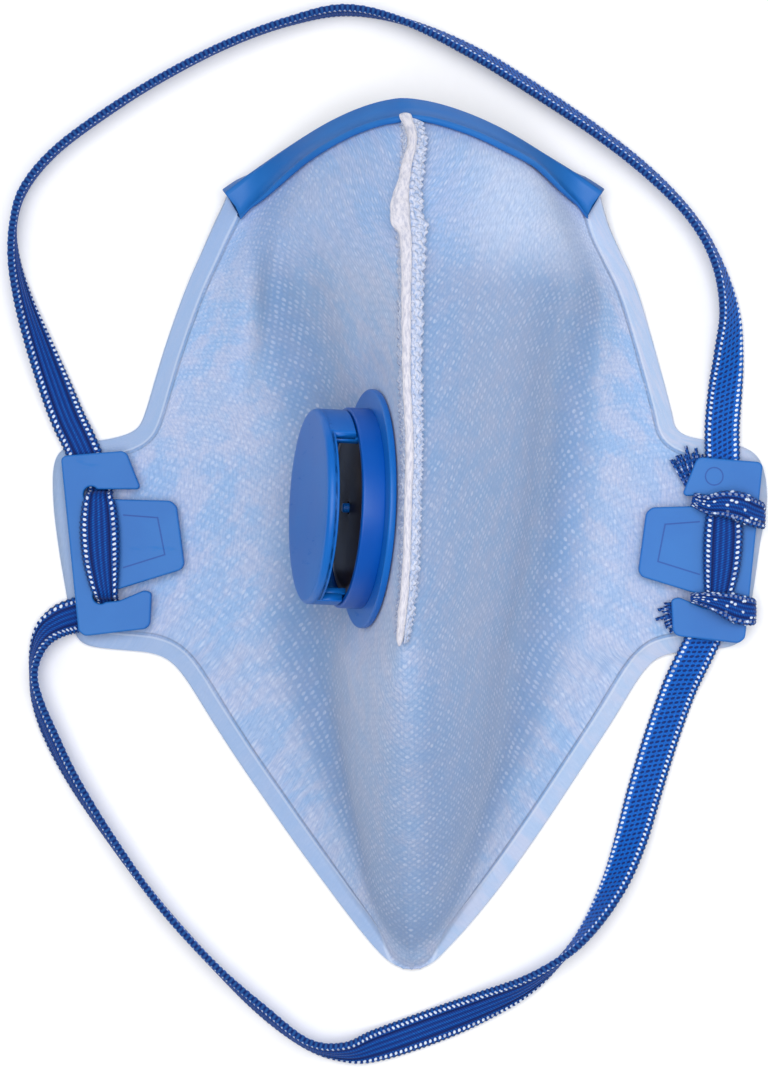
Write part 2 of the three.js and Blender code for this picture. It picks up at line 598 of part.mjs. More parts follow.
function buildStrapClip(name, side) {
  const thick = CLIP_PLATE_TOP - CLIP_PLATE_BASE;
  const outline = (corners) => new THREE.Shape(corners.map(([x, y]) => onClip(side, x, y)));
  const plate = new THREE.ExtrudeGeometry(outline(CLIP_OUTLINE), {
    depth: thick - CLIP_BEVEL,
    bevelThickness: CLIP_BEVEL,
    bevelSize: CLIP_BEVEL,
    bevelOffset: -CLIP_BEVEL,
    bevelSegments: 1,
  });
  plate.translate(0, 0, CLIP_PLATE_BASE);
  const floor = new THREE.BoxGeometry(TOOL_REACH, TOOL_REACH, thick);
  floor.translate(0, 0, CLIP_PLATE_BASE - thick / 2);
  const holes = CLIP_SLOT_ENDS.map(([x, y]) => {
    const hole = new THREE.CylinderGeometry(CLIP_SLOT_RADIUS, CLIP_SLOT_RADIUS, 4 * thick, PIN_SEGMENTS);
    const centre = onClip(side, x, y);
    return hole.rotateX(Math.PI / 2).translate(centre.x, centre.y, CLIP_PLATE_TOP);
  });
  const seat = new THREE.ExtrudeGeometry(outline(CLIP_SEAT), {
    depth: CLIP_PLATE_BASE - CLIP_SEAT_BASE + BITE,
    bevelEnabled: false,
  });
  seat.translate(0, 0, CLIP_SEAT_BASE);
  return part(name, joined(cut(plate, floor, ...holes), seat), COLOURS.clip, 0.35);
}

// A strap thins where it is lifted into a clip that pinches it.
function strapThick(lift) {
  const held = smoothStep((lift - LOOSE_LIFT) / (HELD_LIFT - LOOSE_LIFT));
  return THREE.MathUtils.lerp(STRAP_THICK, STRAP_PINCHED, held);
}

// Frames along a strap that lies on the surface.
function strapFrames(route, steps) {
  const last = route.length - 1;
  const centre = (position) => {
    const row = smoothRow(route, THREE.MathUtils.clamp(position, 0, last));
    const roll = THREE.MathUtils.degToRad(row.roll);
    const rise = Math.abs(Math.sin(roll)) * STRAP_WIDTH / 2 + Math.abs(Math.cos(roll)) * strapThick(row.lift) / 2;
    return new THREE.Vector3(row.x, row.y, Math.max(row.lift, FLOOR_CLEARANCE) + rise);
  };
  const frames = [];
  for (let i = 0; i <= steps; i++) {
    const position = (last * i) / steps;
    const roll = THREE.MathUtils.degToRad(smoothRow(route, position).roll);
    const forward = centre(position + TANGENT_STEP).sub(centre(position - TANGENT_STEP)).normalize();
    const level = new THREE.Vector3(0, 0, 1).cross(forward).normalize();
    const upright = forward.clone().cross(level);
    const side = level.clone().multiplyScalar(Math.cos(roll)).addScaledVector(upright, Math.sin(roll));
    const thin = strapThick(smoothRow(route, position).lift) / STRAP_THICK;
    frames.push({ place: centre(position), side, up: forward.clone().cross(side).multiplyScalar(thin) });
  }
  return frames;
}

function strapSection(width = STRAP_WIDTH, thick = STRAP_THICK) {
  const [w, t] = [width / 2, thick / 2];
  return outlineOf([
    [-w, -t / 2], [-w + t / 2, -t], [w - t / 2, -t], [w, -t / 2],
    [w, t / 2], [w - t / 2, t], [-w + t / 2, t], [-w, t / 2],
  ]);
}

function buildStrap(name, route, steps) {
  return part(name, sweep(strapSection(), strapFrames(route, steps)), COLOURS.strap, 0.85);
}

// A short strap piece with its flat side facing out of its path. Each row is a place and a width.
function shortStrap(name, rows, thick, across) {
  const curve = new THREE.CatmullRomCurve3(
    rows.map((row) => new THREE.Vector3(row.x, row.y, row.z)), false, "centripetal");
  const steps = SHORT_STEPS * (rows.length - 1);
  const frames = [];
  for (let i = 0; i <= steps; i++) {
    const forward = curve.getTangent(i / steps);
    const level = across.clone().addScaledVector(forward, -across.dot(forward)).normalize();
    const width = smoothRow(rows, (i * (rows.length - 1)) / steps).width;
    frames.push({
      place: curve.getPoint(i / steps),
      side: level.clone().multiplyScalar(width / STRAP_WIDTH),
      up: forward.clone().cross(level),
    });
  }
  return part(name, sweep(strapSection(STRAP_WIDTH, thick), frames), COLOURS.strap, 0.85);
}

// Between its two slots the strap lies over the root of the clip's tongue.
const BRIDGE = table("x y z width", [
  [-60.9,   9.3, 2.15, 5.2],
  [-60.9,   8.3, 2.20, 5.2],
  [-60.8,   7.5, 3.00, 5.2],
  [-60.8,   7.4, 4.60, 5.2],
  [-60.8,   6.5, 5.90, 5.6],
  [-60.7,   4.8, 6.20, 6.4],
  [-60.6,   0.5, 6.30, 7.2],
  [-60.3,  -5.0, 6.30, 7.0],
  [-59.8,  -9.6, 6.20, 5.8],
  [-59.5, -11.6, 5.80, 5.0],
  [-59.5, -12.5, 4.60, 4.7],
  [-59.5, -12.7, 3.00, 4.7],
  [-59.5, -13.4, 2.20, 4.7],
  [-59.5, -14.2, 2.15, 4.7],
]);

function buildBridge(name, side) {
  const rows = BRIDGE.map((row) => {
    const place = onClip(side, row.x, row.y);
    return { ...row, x: place.x, y: place.y };
  });
  return shortStrap(name, rows, STRAP_PINCHED, new THREE.Vector3(1, 0, 0));
}

// On the right clip each strap end is wrapped once round the bridge and its cut tail is tucked away.
const KNOT_UPPER = table("x y z width", [
  [54.6, 6.3, 5.90, 2.4],
  [57.4, 5.3, 7.60, 3.6],
  [60.4, 5.4, 8.60, 5.0],
  [63.4, 4.9, 8.20, 5.6],
  [65.7, 3.9, 7.00, 5.4],
  [67.7, 3.2, 5.50, 5.0],
  [68.3, 2.9, 3.80, 4.4],
]);
const KNOT_LOWER = table("x y z width", [
  [54.2, -12.8, 6.40, 1.6],
  [56.6, -13.0, 7.60, 2.6],
  [59.2, -13.6, 8.30, 3.9],
  [61.7, -14.4, 7.60, 5.4],
  [63.9, -15.1, 6.80, 5.6],
  [65.85, -15.4, 5.60, 5.2],
  [66.5, -15.5, 3.80, 4.6],
]);
const TAIL_UPPER = table("x y z width", [
  [55.2, 8.6, 2.20, 2.6],
  [54.3, 11.4, 2.20, 3.8],
  [53.2, 15.0, 2.40, 4.8],
]);
const TAIL_LOWER = table("x y z width", [
  [53.8, -15.4, 2.20, 3.0],
  [51.6, -16.2, 2.20, 3.8],
  [49.2, -17.0, 2.40, 4.4],
]);

// The real strap closes round the mask, so its pieces meet under the arms of the clips.
function buildStraps() {
  const alongY = new THREE.Vector3(0, 1, 0);
  const alongX = new THREE.Vector3(1, 0, 0);
  return [
    buildStrap("strap_upper", UPPER_STRAP, UPPER_STEPS),
    buildStrap("strap_lower", LOWER_STRAP, LOWER_STEPS),
    buildBridge("strap_bridge_left", -1),
    buildBridge("strap_bridge_right", 1),
    shortStrap("strap_knot_upper", KNOT_UPPER, KNOT_THICK, alongY),
    shortStrap("strap_knot_lower", KNOT_LOWER, KNOT_THICK, alongY),
    shortStrap("strap_tail_upper", TAIL_UPPER, STRAP_PINCHED, alongX),
    shortStrap("strap_tail_lower", TAIL_LOWER, STRAP_PINCHED, alongY),
  ];
}

function buildMask() {
  const grid = clothGrid();
  const normals = gridNormals(grid);
  const mask = new THREE.Group();
  mask.position.y = MIDDLE_SHIFT;
  mask.add(
    buildFacepiece(grid, normals),
    buildSeamAllowance(),
    buildSeamCore(),
    buildNoseClip(grid, normals),
    buildValveBase(),
    buildValveMembrane(),
    buildValveCap(),
    buildStrapClip("strap_clip_left", -1),
    buildStrapClip("strap_clip_right", 1),
    ...buildStraps(),
  );
  return mask;
}

export default buildMask();
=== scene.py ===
"""A half-face anti-smog mask: folded nonwoven cloth with a welded seam, a nose clip, an outlet valve
and one knitted elastic strap held by two moulded clips. Metres, +Z up, +Y towards the nose."""
import math

import bmesh
import bpy
from mathutils import Matrix, Vector, bvhtree, kdtree, noise


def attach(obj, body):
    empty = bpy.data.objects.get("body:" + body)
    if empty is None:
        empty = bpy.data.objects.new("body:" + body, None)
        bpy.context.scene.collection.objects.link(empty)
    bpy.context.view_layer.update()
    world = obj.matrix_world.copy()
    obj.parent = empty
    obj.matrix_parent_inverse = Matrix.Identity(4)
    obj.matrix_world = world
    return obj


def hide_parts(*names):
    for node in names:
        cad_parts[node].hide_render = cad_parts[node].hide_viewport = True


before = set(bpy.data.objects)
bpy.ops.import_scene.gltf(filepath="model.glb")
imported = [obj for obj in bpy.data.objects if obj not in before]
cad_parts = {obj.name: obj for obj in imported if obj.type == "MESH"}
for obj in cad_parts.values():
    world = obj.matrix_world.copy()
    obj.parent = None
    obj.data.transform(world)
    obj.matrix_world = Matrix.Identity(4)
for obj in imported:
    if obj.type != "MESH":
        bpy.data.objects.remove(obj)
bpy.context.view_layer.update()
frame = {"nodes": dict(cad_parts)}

MM = 0.001

# Driving sizes, the same as the frame's.
CLOTH = 0.0012
PORT_RADIUS = 0.008
SEAT_CENTRE = Vector((-0.0066, 0.0043, 0.037))
SEAT_TILT = math.radians(14.5)
SEAT_TURN = math.radians(2.5)
SEAT_RADIUS = 0.023
SEAT_BLEND = 0.008
SEAM_FIRST_ROW = 1.14
SEAM_LAST_ROW = 16.9
STRAP_WIDTH = 0.007
STRAP_THICK = 0.0016
PLATE_BASE = 0.0030
PLATE_TOP = 0.0048
SEAT_BASE = 0.0015
MIRROR_SHIFT = Vector((-0.0002, -0.0013))
STITCH = 0.001  # one knitted loop along the strap
HANDS = ((-1, "left"), (1, "right"))
MIDDLE = Vector((0, 0.0012, 0))  # from the tables' origin to the middle of the mask's own length


def table(columns, rows):
    """Rows of numbers as dictionaries with named columns."""
    names = columns.split()
    return [dict(zip(names, row)) for row in rows]


# One row for each cross-section of the cloth, from the nose to the chin: the ridge, how far out the
# steep walls reach, how round they are, where the flat border starts, and the outer edge.
SECTIONS = table(
    "ridge_x ridge_y ridge_z left_foot right_foot foot_z left_bow right_bow root_x left_rim right_rim"
    " rim_y rim_z left_curl right_curl",
    [
        [-.0010, .0812, .0250, .0160, .0200, .0155, .75, .75, .0324, .0356, .0364, .0650, .0056, 1.65, 1.65],
        [-.0003, .0774, .0285, .0175, .0220, .0165, .75, .75, .0334, .0370, .0372, .0620, .0048, 1.65, 1.60],
        [.0004, .0726, .0325, .0190, .0240, .0175, .75, .74, .0348, .0389, .0384, .0585, .0038, 1.60, 1.55],
        [-.0001, .0668, .0370, .0200, .0265, .0180, .76, .72, .0370, .0411, .0406, .0540, .0028, 1.55, 1.50],
        [-.0005, .0600, .0420, .0205, .0290, .0175, .78, .71, .0396, .0436, .0432, .0488, .0020, 1.50, 1.45],
        [.0001, .0520, .0472, .0200, .0305, .0160, .82, .70, .0416, .0459, .0452, .0430, .0015, 1.50, 1.40],
        [.0002, .0435, .0520, .0185, .0300, .0140, .88, .69, .0434, .0481, .0470, .0368, .0012, 1.5, 1.4],
        [.0003, .0350, .0562, .0165, .0285, .0125, .94, .68, .0452, .0502, .0489, .0300, .0012, 1.5, 1.4],
        [.0005, .0270, .0592, .0152, .0275, .0112, 1.0, .67, .0468, .0521, .0506, .0236, .0012, 1.5, 1.4],
        [.0007, .0215, .0608, .0146, .0270, .0106, 1.0, .67, .0478, .0540, .0516, .0200, .0012, 1.5, 1.4],
        [.0009, .0170, .0616, .0144, .0267, .0102, 1.0, .67, .0490, .0590, .0552, .0182, .0012, 1.5, 1.4],
        [.0009, .0125, .0620, .0144, .0263, .0100, 1.0, .67, .0500, .0668, .0634, .0170, .0012, 1.5, 1.4],
        [.0008, .0080, .0622, .0144, .0260, .0100, 1.0, .67, .0500, .0700, .0680, .0138, .0012, 1.5, 1.4],
        [.0008, .0025, .0623, .0145, .0250, .0100, 1.0, .67, .0500, .0702, .0692, .0060, .0012, 1.5, 1.4],
        [.0007, -.0035, .0621, .0147, .0240, .0102, 1.0, .67, .0500, .0693, .0678, -.0020, .0012, 1.5, 1.4],
        [.0005, -.0095, .0615, .0150, .0230, .0106, .98, .66, .0500, .0680, .0667, -.0100, .0012, 1.5, 1.4],
        [.0000, -.0150, .0603, .0152, .0220, .0110, .92, .65, .0500, .0666, .0654, -.0170, .0012, 1.5, 1.4],
        [-.0004, -.0200, .0586, .0152, .0210, .0110, .84, .63, .0496, .0646, .0636, -.0218, .0012, 1.5, 1.4],
        [-.0004, -.0245, .0564, .0150, .0204, .0110, .72, .60, .0472, .0574, .0566, -.0230, .0012, 1.5, 1.4],
        [-.0002, -.0285, .0540, .0148, .0198, .0110, .62, .57, .0448, .0502, .0496, -.0238, .0012, 1.5, 1.4],
        [.0000, -.0330, .0508, .0145, .0192, .0110, .56, .54, .0412, .0454, .0452, -.0270, .0012, 1.50, 1.50],
        [.0000, -.0400, .0452, .0138, .0180, .0106, .52, .52, .0358, .0395, .0395, -.0362, .0012, 1.60, 1.60],
        [.0000, -.0480, .0380, .0128, .0164, .0100, .50, .50, .0302, .0339, .0339, -.0448, .0012, 1.70, 1.70],
        [.0000, -.0560, .0306, .0114, .0144, .0092, .50, .50, .0246, .0281, .0284, -.0532, .0012, 1.80, 1.80],
        [.0000, -.0640, .0229, .0100, .0122, .0078, .50, .50, .0188, .0222, .0227, -.0616, .0012, 1.90, 1.90],
        [.0000, -.0715, .0157, .0080, .0096, .0060, .50, .50, .0132, .0163, .0169, -.0696, .0012, 2.00, 2.00],
        [.0000, -.0780, .0093, .0056, .0064, .0040, .50, .50, .0080, .0110, .0112, -.0766, .0012, 2.00, 2.00],
        [.0000, -.0825, .0046, .0034, .0038, .0026, .50, .50, .0050, .0070, .0068, -.0814, .0012, 2.00, 2.00],
        [.0000, -.0847, .0016, .0018, .0018, .0013, .50, .50, .0028, .0042, .0041, -.0840, .0012, 2.00, 2.00],
        [.0000, -.0853, .0013, .0005, .0005, .0013, .50, .50, .0010, .0018, .0018, -.0851, .0012, 2.00, 2.00],
    ],
)

# The middle line of each free strap, with the height of its lower edge. A roll of 0 lies flat.
UPPER_STRAP = table("x y lift roll", [
    [-.0619, .0102, .0016, 0], [-.0632, .0134, .0016, 0], [-.0650, .0176, .0014, 1],
    [-.0674, .0226, .0006, 10], [-.0703, .0300, .0001, 28], [-.0732, .0378, .0001, 49],
    [-.0758, .0454, .0001, 68], [-.0776, .0530, .0001, 84], [-.0778, .0600, .0001, 95],
    [-.0758, .0668, .0001, 93], [-.0702, .0738, .0001, 93], [-.0614, .0806, .0001, 93],
    [-.0496, .0881, .0001, 94], [-.0364, .0949, .0001, 94], [-.0242, .0994, .0001, 92],
    [-.0128, .1016, .0001, 86], [-.0012, .0993, .0001, 96], [.0118, .0934, .0001, 109],
    [.0242, .0858, .0001, 110], [.0364, .0775, .0001, 107], [.0466, .0693, .0001, 105],
    [.0546, .0608, .0001, 101], [.0594, .0522, .0001, 104], [.0617, .0432, .0001, 122],
    [.0616, .0348, .0001, 148], [.0609, .0266, .0001, 174], [.0604, .0204, .0011, 180],
    [.0604, .0150, .0016, 180], [.0604, .0086, .0016, 180],
])
LOWER_STRAP = table("x y lift roll", [
    [-.0624, -.0153, .0015, 0], [-.0656, -.0162, .0012, 1], [-.0688, -.0175, .0011, 20],
    [-.0715, -.0198, .0005, 44], [-.0731, -.0232, .0001, 66], [-.0737, -.0278, .0001, 80],
    [-.0729, -.0330, .0001, 72], [-.0704, -.0396, .0001, 65], [-.0659, -.0484, .0001, 70],
    [-.0584, -.0600, .0001, 78], [-.0493, -.0724, .0001, 84], [-.0386, -.0842, .0001, 82],
    [-.0289, -.0932, .0001, 72], [-.0204, -.0995, .0001, 74], [-.0132, -.1012, .0001, 54],
    [-.0062, -.0999, .0001, 16], [.0040, -.0964, .0001, 5], [.0136, -.0924, .0001, 26],
    [.0224, -.0880, .0001, 56], [.0298, -.0822, .0001, 88], [.0349, -.0762, .0001, 110],
    [.0395, -.0682, .0001, 134], [.0426, -.0600, .0001, 156], [.0453, -.0506, .0001, 172],
    [.0484, -.0406, .0001, 178], [.0516, -.0316, .0003, 180], [.0534, -.0274, .0015, 180],
    [.0552, -.0238, .0017, 180], [.0572, -.0198, .0016, 180], [.0586, -.0170, .0016, 180],
])
LOOSE_LIFT = 0.0006  # below this lift the strap is loose
HELD_LIFT = 0.0012  # above this lift a clip holds the strap and pinches it
HELD_THICK = 0.0011

# Short lengths of strap at the clips: the middle line, its width, and the share of the full thickness.
BRIDGE = table("x y z width thick", [
    [-.0609, .0093, .00215, .0052, .6], [-.0609, .0083, .00220, .0052, .6],
    [-.0608, .0075, .0030, .0052, .6], [-.0608, .0074, .0046, .0052, .7],
    [-.0608, .0065, .0059, .0060, .9], [-.0607, .0048, .0062, .0071, 1.0],
    [-.0606, .0005, .0063, .0080, 1.0], [-.0603, -.0050, .0063, .0076, 1.0],
    [-.0598, -.0096, .0062, .0062, .9], [-.0595, -.0116, .0058, .0052, .8],
    [-.0595, -.0125, .0046, .0048, .7], [-.0595, -.0127, .0030, .0047, .6],
    [-.0595, -.0134, .0022, .0047, .6], [-.0595, -.0142, .00215, .0047, .6],
])
KNOT_UPPER = table("x y z width thick", [
    [.0546, .0063, .0059, .0028, 0.7], [.0574, .0053, .0076, .0040, 0.9],
    [.0604, .0054, .0086, .0054, 1.0], [.0634, .0049, .0082, .0060, 1.0],
    [.0657, .0039, .0070, .0058, 0.9], [.0677, .0032, .0055, .0054, 0.8],
    [.0683, .0029, .0038, .0048, 0.6],
])
KNOT_LOWER = table("x y z width thick", [
    [.0542, -.0128, .0064, .0020, 0.7], [.0566, -.0130, .0076, .0030, 0.9],
    [.0592, -.0136, .0083, .0043, 1.0], [.0617, -.0144, .0076, .0058, 1.0],
    [.0639, -.0151, .0068, .0060, 0.9], [.06585, -.0154, .0056, .0056, 0.8],
    [.0665, -.0155, .0038, .0050, 0.6],
])
TAIL_UPPER = table("x y z width thick", [
    [.0552, .0086, .0022, .0026, 0.6], [.0543, .0114, .0022, .0038, 0.6],
    [.0532, .0150, .0024, .0048, 0.5],
])
TAIL_LOWER = table("x y z width thick", [
    [.0538, -.0154, .0022, .0030, 0.6], [.0516, -.0162, .0022, .0038, 0.6],
    [.0492, -.0170, .0024, .0044, 0.5],
])

# The left strap clip from above; the right one is its mirror image.
CLIP_OUTLINE = [
    (-.0676, .0149), (-.0563, .0158), (-.0554, .0152), (-.0529, .0089), (-.0533, .0083),
    (-.0624, .0083), (-.0624, .0065), (-.0469, .0061), (-.0457, .0050), (-.0442, -.0063),
    (-.0449, -.0074), (-.0572, -.0112), (-.0606, -.0114), (-.0606, -.0136), (-.0570, -.0134),
    (-.0520, -.0113), (-.0506, -.0118), (-.0509, -.0180), (-.0518, -.0189), (-.0636, -.0203),
    (-.0649, -.0193), (-.0683, .0142),
]
SLOT_ENDS = [(-.0624, .0074), (-.0606, -.0125)]
SLOT_RADIUS = 0.0015
CLIP_SEAT = [(-.0670, .0056), (-.0508, .0053), (-.0504, -.0078), (-.0574, -.0099), (-.0653, -.0099)]
TONGUE_LINE = [(-.0560, .0033), (-.0494, .0028), (-.0480, -.0044), (-.0560, -.0069)]

# The welded seam from the nose to its end: half the width of its white core, how far the core leans,
# and how far the two welded flaps reach.
SEAM = table("at core lean left right", [
    [.00, .00115, -.0003, .0015, .0029], [.06, .00080, .0007, .0016, .0030],
    [.14, .00105, -.0001, .0012, .0030], [.19, .00165, -.0008, .0012, .0034],
    [.215, .00175, -.0008, .0014, .0040], [.235, .00110, .0000, .0014, .0034],
    [.30, .00090, .0001, .0013, .0030], [.45, .00075, .0001, .0013, .0026],
    [.62, .00072, .0003, .0013, .0024], [.80, .00068, .0000, .0013, .0021],
    [.93, .00075, -.0003, .0012, .0017], [1.0, .00060, -.0004, .0009, .0012],
])

# Soft creases pressed into the cloth: the two ends seen from above, the depth and the width.
CREASES = table("x0 y0 x1 y1 depth width", [
    [-.0300, .0570, -.0335, .0220, .0007, .0020],
    [-.0250, .0600, -.0290, .0300, -.0004, .0016],
    [.0400, -.0110, .0520, -.0150, .0004, .0012],
    [.0380, -.0130, .0500, -.0240, .0003, .0012],
    [.0270, .0350, .0290, -.0020, .0004, .0030],
    [-.0180, -.0250, -.0080, -.0740, .0004, .0016],
    [.0200, -.0420, .0060, -.0740, .0004, .0018],
])


# ---------------------------------------------------------------- curves and numbers

def smooth_value(values, position):
    """A smooth curve through equally spaced values, read between them."""
    last = len(values) - 1
    i = min(int(position), last - 1)
    t = position - i
    p1, p2 = values[i], values[i + 1]
    p0 = values[i - 1] if i > 0 else 2 * p1 - p2
    p3 = values[i + 2] if i + 2 <= last else 2 * p2 - p1
    cubic = 3 * p1 - p0 - 3 * p2 + p3
    square = 2 * p0 - 5 * p1 + 4 * p2 - p3
    return p1 + 0.5 * t * (p2 - p0 + t * (square + t * cubic))


def smooth_row(rows, position):
    return {name: smooth_value([row[name] for row in rows], position) for name in rows[0]}


def row_at(rows, at):
    """A row of a table between two rows of it, found by the column called at."""
    for before, after in zip(rows, rows[1:]):
        if at <= after["at"]:
            t = smooth_step((at - before["at"]) / (after["at"] - before["at"]))
            return {name: before[name] + (after[name] - before[name]) * t for name in before}
    return dict(rows[-1])


def clamp(value, low=0.0, high=1.0):
    return max(low, min(high, value))


def smooth_step(t):
    s = clamp(t)
    return s * s * (3 - 2 * s)


def spread(first, last, steps):
    """Equally spaced numbers from first to last."""
    return [first + (last - first) * i / steps for i in range(steps + 1)]


def quadratic(a, b, c, t):
    return a * (1 - t) ** 2 + b * (2 * t * (1 - t)) + c * t * t


def running_lengths(points):
    """The length along a line of points up to each of them."""
    lengths = [0.0]
    for a, b in zip(points, points[1:]):
        lengths.append(lengths[-1] + (b - a).length)
    return lengths


def stations(lengths, count):
    """Equal steps along a line: for each, the stretch where it lies and how far along the stretch."""
    k = 0
    for wanted in spread(0.0, lengths[-1], count):
        while k < len(lengths) - 2 and lengths[k + 1] < wanted:
            k += 1
        yield k, (wanted - lengths[k]) / max(lengths[k + 1] - lengths[k], 1e-9)


def bump_of(distance, width):
    return math.exp(-(distance / width) ** 2)


def arc(centre, radius, start, end, steps):
    """Points of an arc, with the angles in degrees."""
    return [
        (centre[0] + radius * math.cos(math.radians(a)), centre[1] + radius * math.sin(math.radians(a)))
        for a in spread(start, end, steps)
    ]


# ---------------------------------------------------------------- making pieces

def finish_piece(bm, name, materials, replaced, smooth=True):
    """Makes an object of a bmesh and binds it to the frame."""
    mesh = bpy.data.meshes.new(name)
    for face in bm.faces:
        face.smooth = smooth
    bmesh.ops.translate(bm, verts=bm.verts, vec=MIDDLE)
    bm.to_mesh(mesh)
    bm.free()
    for material in materials:
        mesh.materials.append(material)
    piece = bpy.data.objects.new(name, mesh)
    bpy.context.scene.collection.objects.link(piece)
    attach(piece, "root")
    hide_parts(*replaced)
    return piece


def shaped_grid(bm, columns, rows, place, chart):
    """Adds a grid of quads. The vertex at row i and column j lies at place(i, j), with chart(i, j) as UV."""
    uv = bm.loops.layers.uv.get("UVMap") or bm.loops.layers.uv.new("UVMap")
    made = bmesh.ops.create_grid(bm, x_segments=columns, y_segments=rows, size=1.0)["verts"]
    where = {}
    for vertex in made:
        where[vertex] = (round((vertex.co.y + 1) / 2 * rows), round((vertex.co.x + 1) / 2 * columns))
    for face in {face for vertex in made for face in vertex.link_faces}:
        for loop in face.loops:
            loop[uv].uv = chart(*where[loop.vert])
    for vertex in made:
        vertex.co = place(*where[vertex])
    return where


def swept_tube(bm, rings, chart):
    """Adds a closed tube through rings of points, with its two ends filled."""
    around = len(rings[0])
    where = shaped_grid(bm, around, len(rings) - 1, lambda i, j: rings[i][j % around], chart)
    vertices = list(where)
    bmesh.ops.remove_doubles(bm, verts=vertices, dist=1e-7)
    alive = [vertex for vertex in vertices if vertex.is_valid]
    open_edges = {edge for vertex in alive for edge in vertex.link_edges if edge.is_boundary}
    bmesh.ops.holes_fill(bm, edges=list(open_edges), sides=0)
    faces = {face for vertex in alive for face in vertex.link_faces}
    bmesh.ops.recalc_face_normals(bm, faces=list(faces))


def carried(outline, frames):
    """Rings of an outline of (side, up) points carried along frames."""
    return [
        [place + side * x + up * y for x, y in (outline(i) if callable(outline) else outline)]
        for i, (place, side, up) in enumerate(frames)
    ]


def arc_chart(rings):
    """A UV of lengths in millimetres round and along a tube."""
    middle = rings[len(rings) // 2]
    around = running_lengths(middle + middle[:1])
    along = running_lengths([ring[0] for ring in rings])
    return lambda i, j: (around[j] / MM, along[i] / MM)


def prism(bm, outline, base, top, bevel=0.0):
    """Adds an upright plate with an outline seen from above. Its upper edge is rounded when a bevel is given.
    """
    corners = [bm.verts.new((x, y, base)) for x, y in outline]
    floor = bm.faces.new(corners)
    made = bmesh.ops.extrude_face_region(bm, geom=[floor])["geom"]
    upper = [item for item in made if isinstance(item, bmesh.types.BMVert)]
    bmesh.ops.translate(bm, verts=upper, vec=(0, 0, top - base))
    lid = next(item for item in made if isinstance(item, bmesh.types.BMFace))
    sides = {face for vertex in corners + upper for face in vertex.link_faces}
    bmesh.ops.recalc_face_normals(bm, faces=list(sides))
    if bevel:
        bmesh.ops.bevel(
            bm, geom=list(lid.edges), offset=bevel, segments=3, profile=0.5, affect="EDGES",
            material=-1, clamp_overlap=True,
        )


def lathe(bm, profile, start=0.0, turn=360.0, steps=96, material=0):
    """Adds a turned shape from a closed profile of (radius, height). A part turn gets flat ends."""
    points = [bm.verts.new((radius, 0, height)) for radius, height in profile]
    edges = [bm.edges.new((a, b)) for a, b in zip(points, points[1:])]
    on_axis = profile[0][0] < 1e-9 and profile[-1][0] < 1e-9
    if not on_axis:
        edges.append(bm.edges.new((points[-1], points[0])))
    bmesh.ops.rotate(
        bm, verts=points, cent=(0, 0, 0), matrix=Matrix.Rotation(math.radians(start), 3, "Z"))
    full = turn >= 360.0
    geometry = points + edges
    if not full:
        geometry.append(bm.faces.new(points))
    bmesh.ops.spin(
        bm, geom=geometry, cent=(0, 0, 0), axis=(0, 0, 1), angle=math.radians(turn), steps=steps,
        use_merge=full, use_duplicate=False,
    )
    faces = shell_of(points[0])
    for face in faces:
        face.material_index = material
    vertices = {vertex for face in faces for vertex in face.verts}
    bmesh.ops.remove_doubles(bm, verts=list(vertices), dist=1e-6)
    alive = [vertex for vertex in vertices if vertex.is_valid]
    bmesh.ops.recalc_face_normals(bm, faces=list({f for v in alive for f in v.link_faces}))


def shell_of(vertex):
    """All faces that hang together with a vertex."""
    found, seen, waiting = set(), {vertex}, [vertex]
    while waiting:
        for face in waiting.pop().link_faces:
            found.add(face)
            waiting += [other for other in face.verts if other not in seen]
            seen.update(face.verts)
    return found


# ---------------------------------------------------------------- the folded cloth

def seat_axis():
    flat = math.cos(SEAT_TILT)
    return Vector((-flat * math.cos(SEAT_TURN), flat * math.sin(SEAT_TURN), math.sin(SEAT_TILT)))


def seat_matrix():
    """The valve's own frame: Z along its axis, X down the slope of the cloth."""
    axis = seat_axis()
    across = (Vector((0, 1, 0)) - axis * axis.y).normalized()
    down = axis.cross(across)
    basis = Matrix((down, axis.cross(down), axis)).transposed().to_4x4()
    return Matrix.Translation(SEAT_CENTRE) @ basis


def seat_offset(point):
    """How far a point lies along the valve's axis, and its offset square to that axis."""
    axis = seat_axis()
    away = point - SEAT_CENTRE
    height = away.dot(axis)
    return height, away - axis * height


WALL_DROPS = spread(0.055, 0.82, 30)
ROUND_STEPS = spread(0.12, 0.88, 6)
FLARE_STEPS = spread(0.2, 1.0, 26)
BORDER_STEPS = spread(0.1, 1.0, 9)
CROWN_STEPS = spread(0.125, 0.875, 6)
CLOTH_ROWS = 210
RIM_COLUMNS = 10  # how many columns along each edge are smoothed from row to row
RIM_PASSES = 5
CROWN_RISE = 0.0012  # how far the fold stands over the tops of the walls
FLARE_CURVE = 1.6
WAVES = ((0.00035, 0.016), (0.00012, 0.005))  # height and length of the cloth's soft waves
BORDER_WIDTH = 0.0038
BORDER_DEPTH = 0.0004
BORDER_TAPER = 0.45  # how fast the border narrows below its last wide place, towards the chin
BORDER_TAPER_START = -0.0775


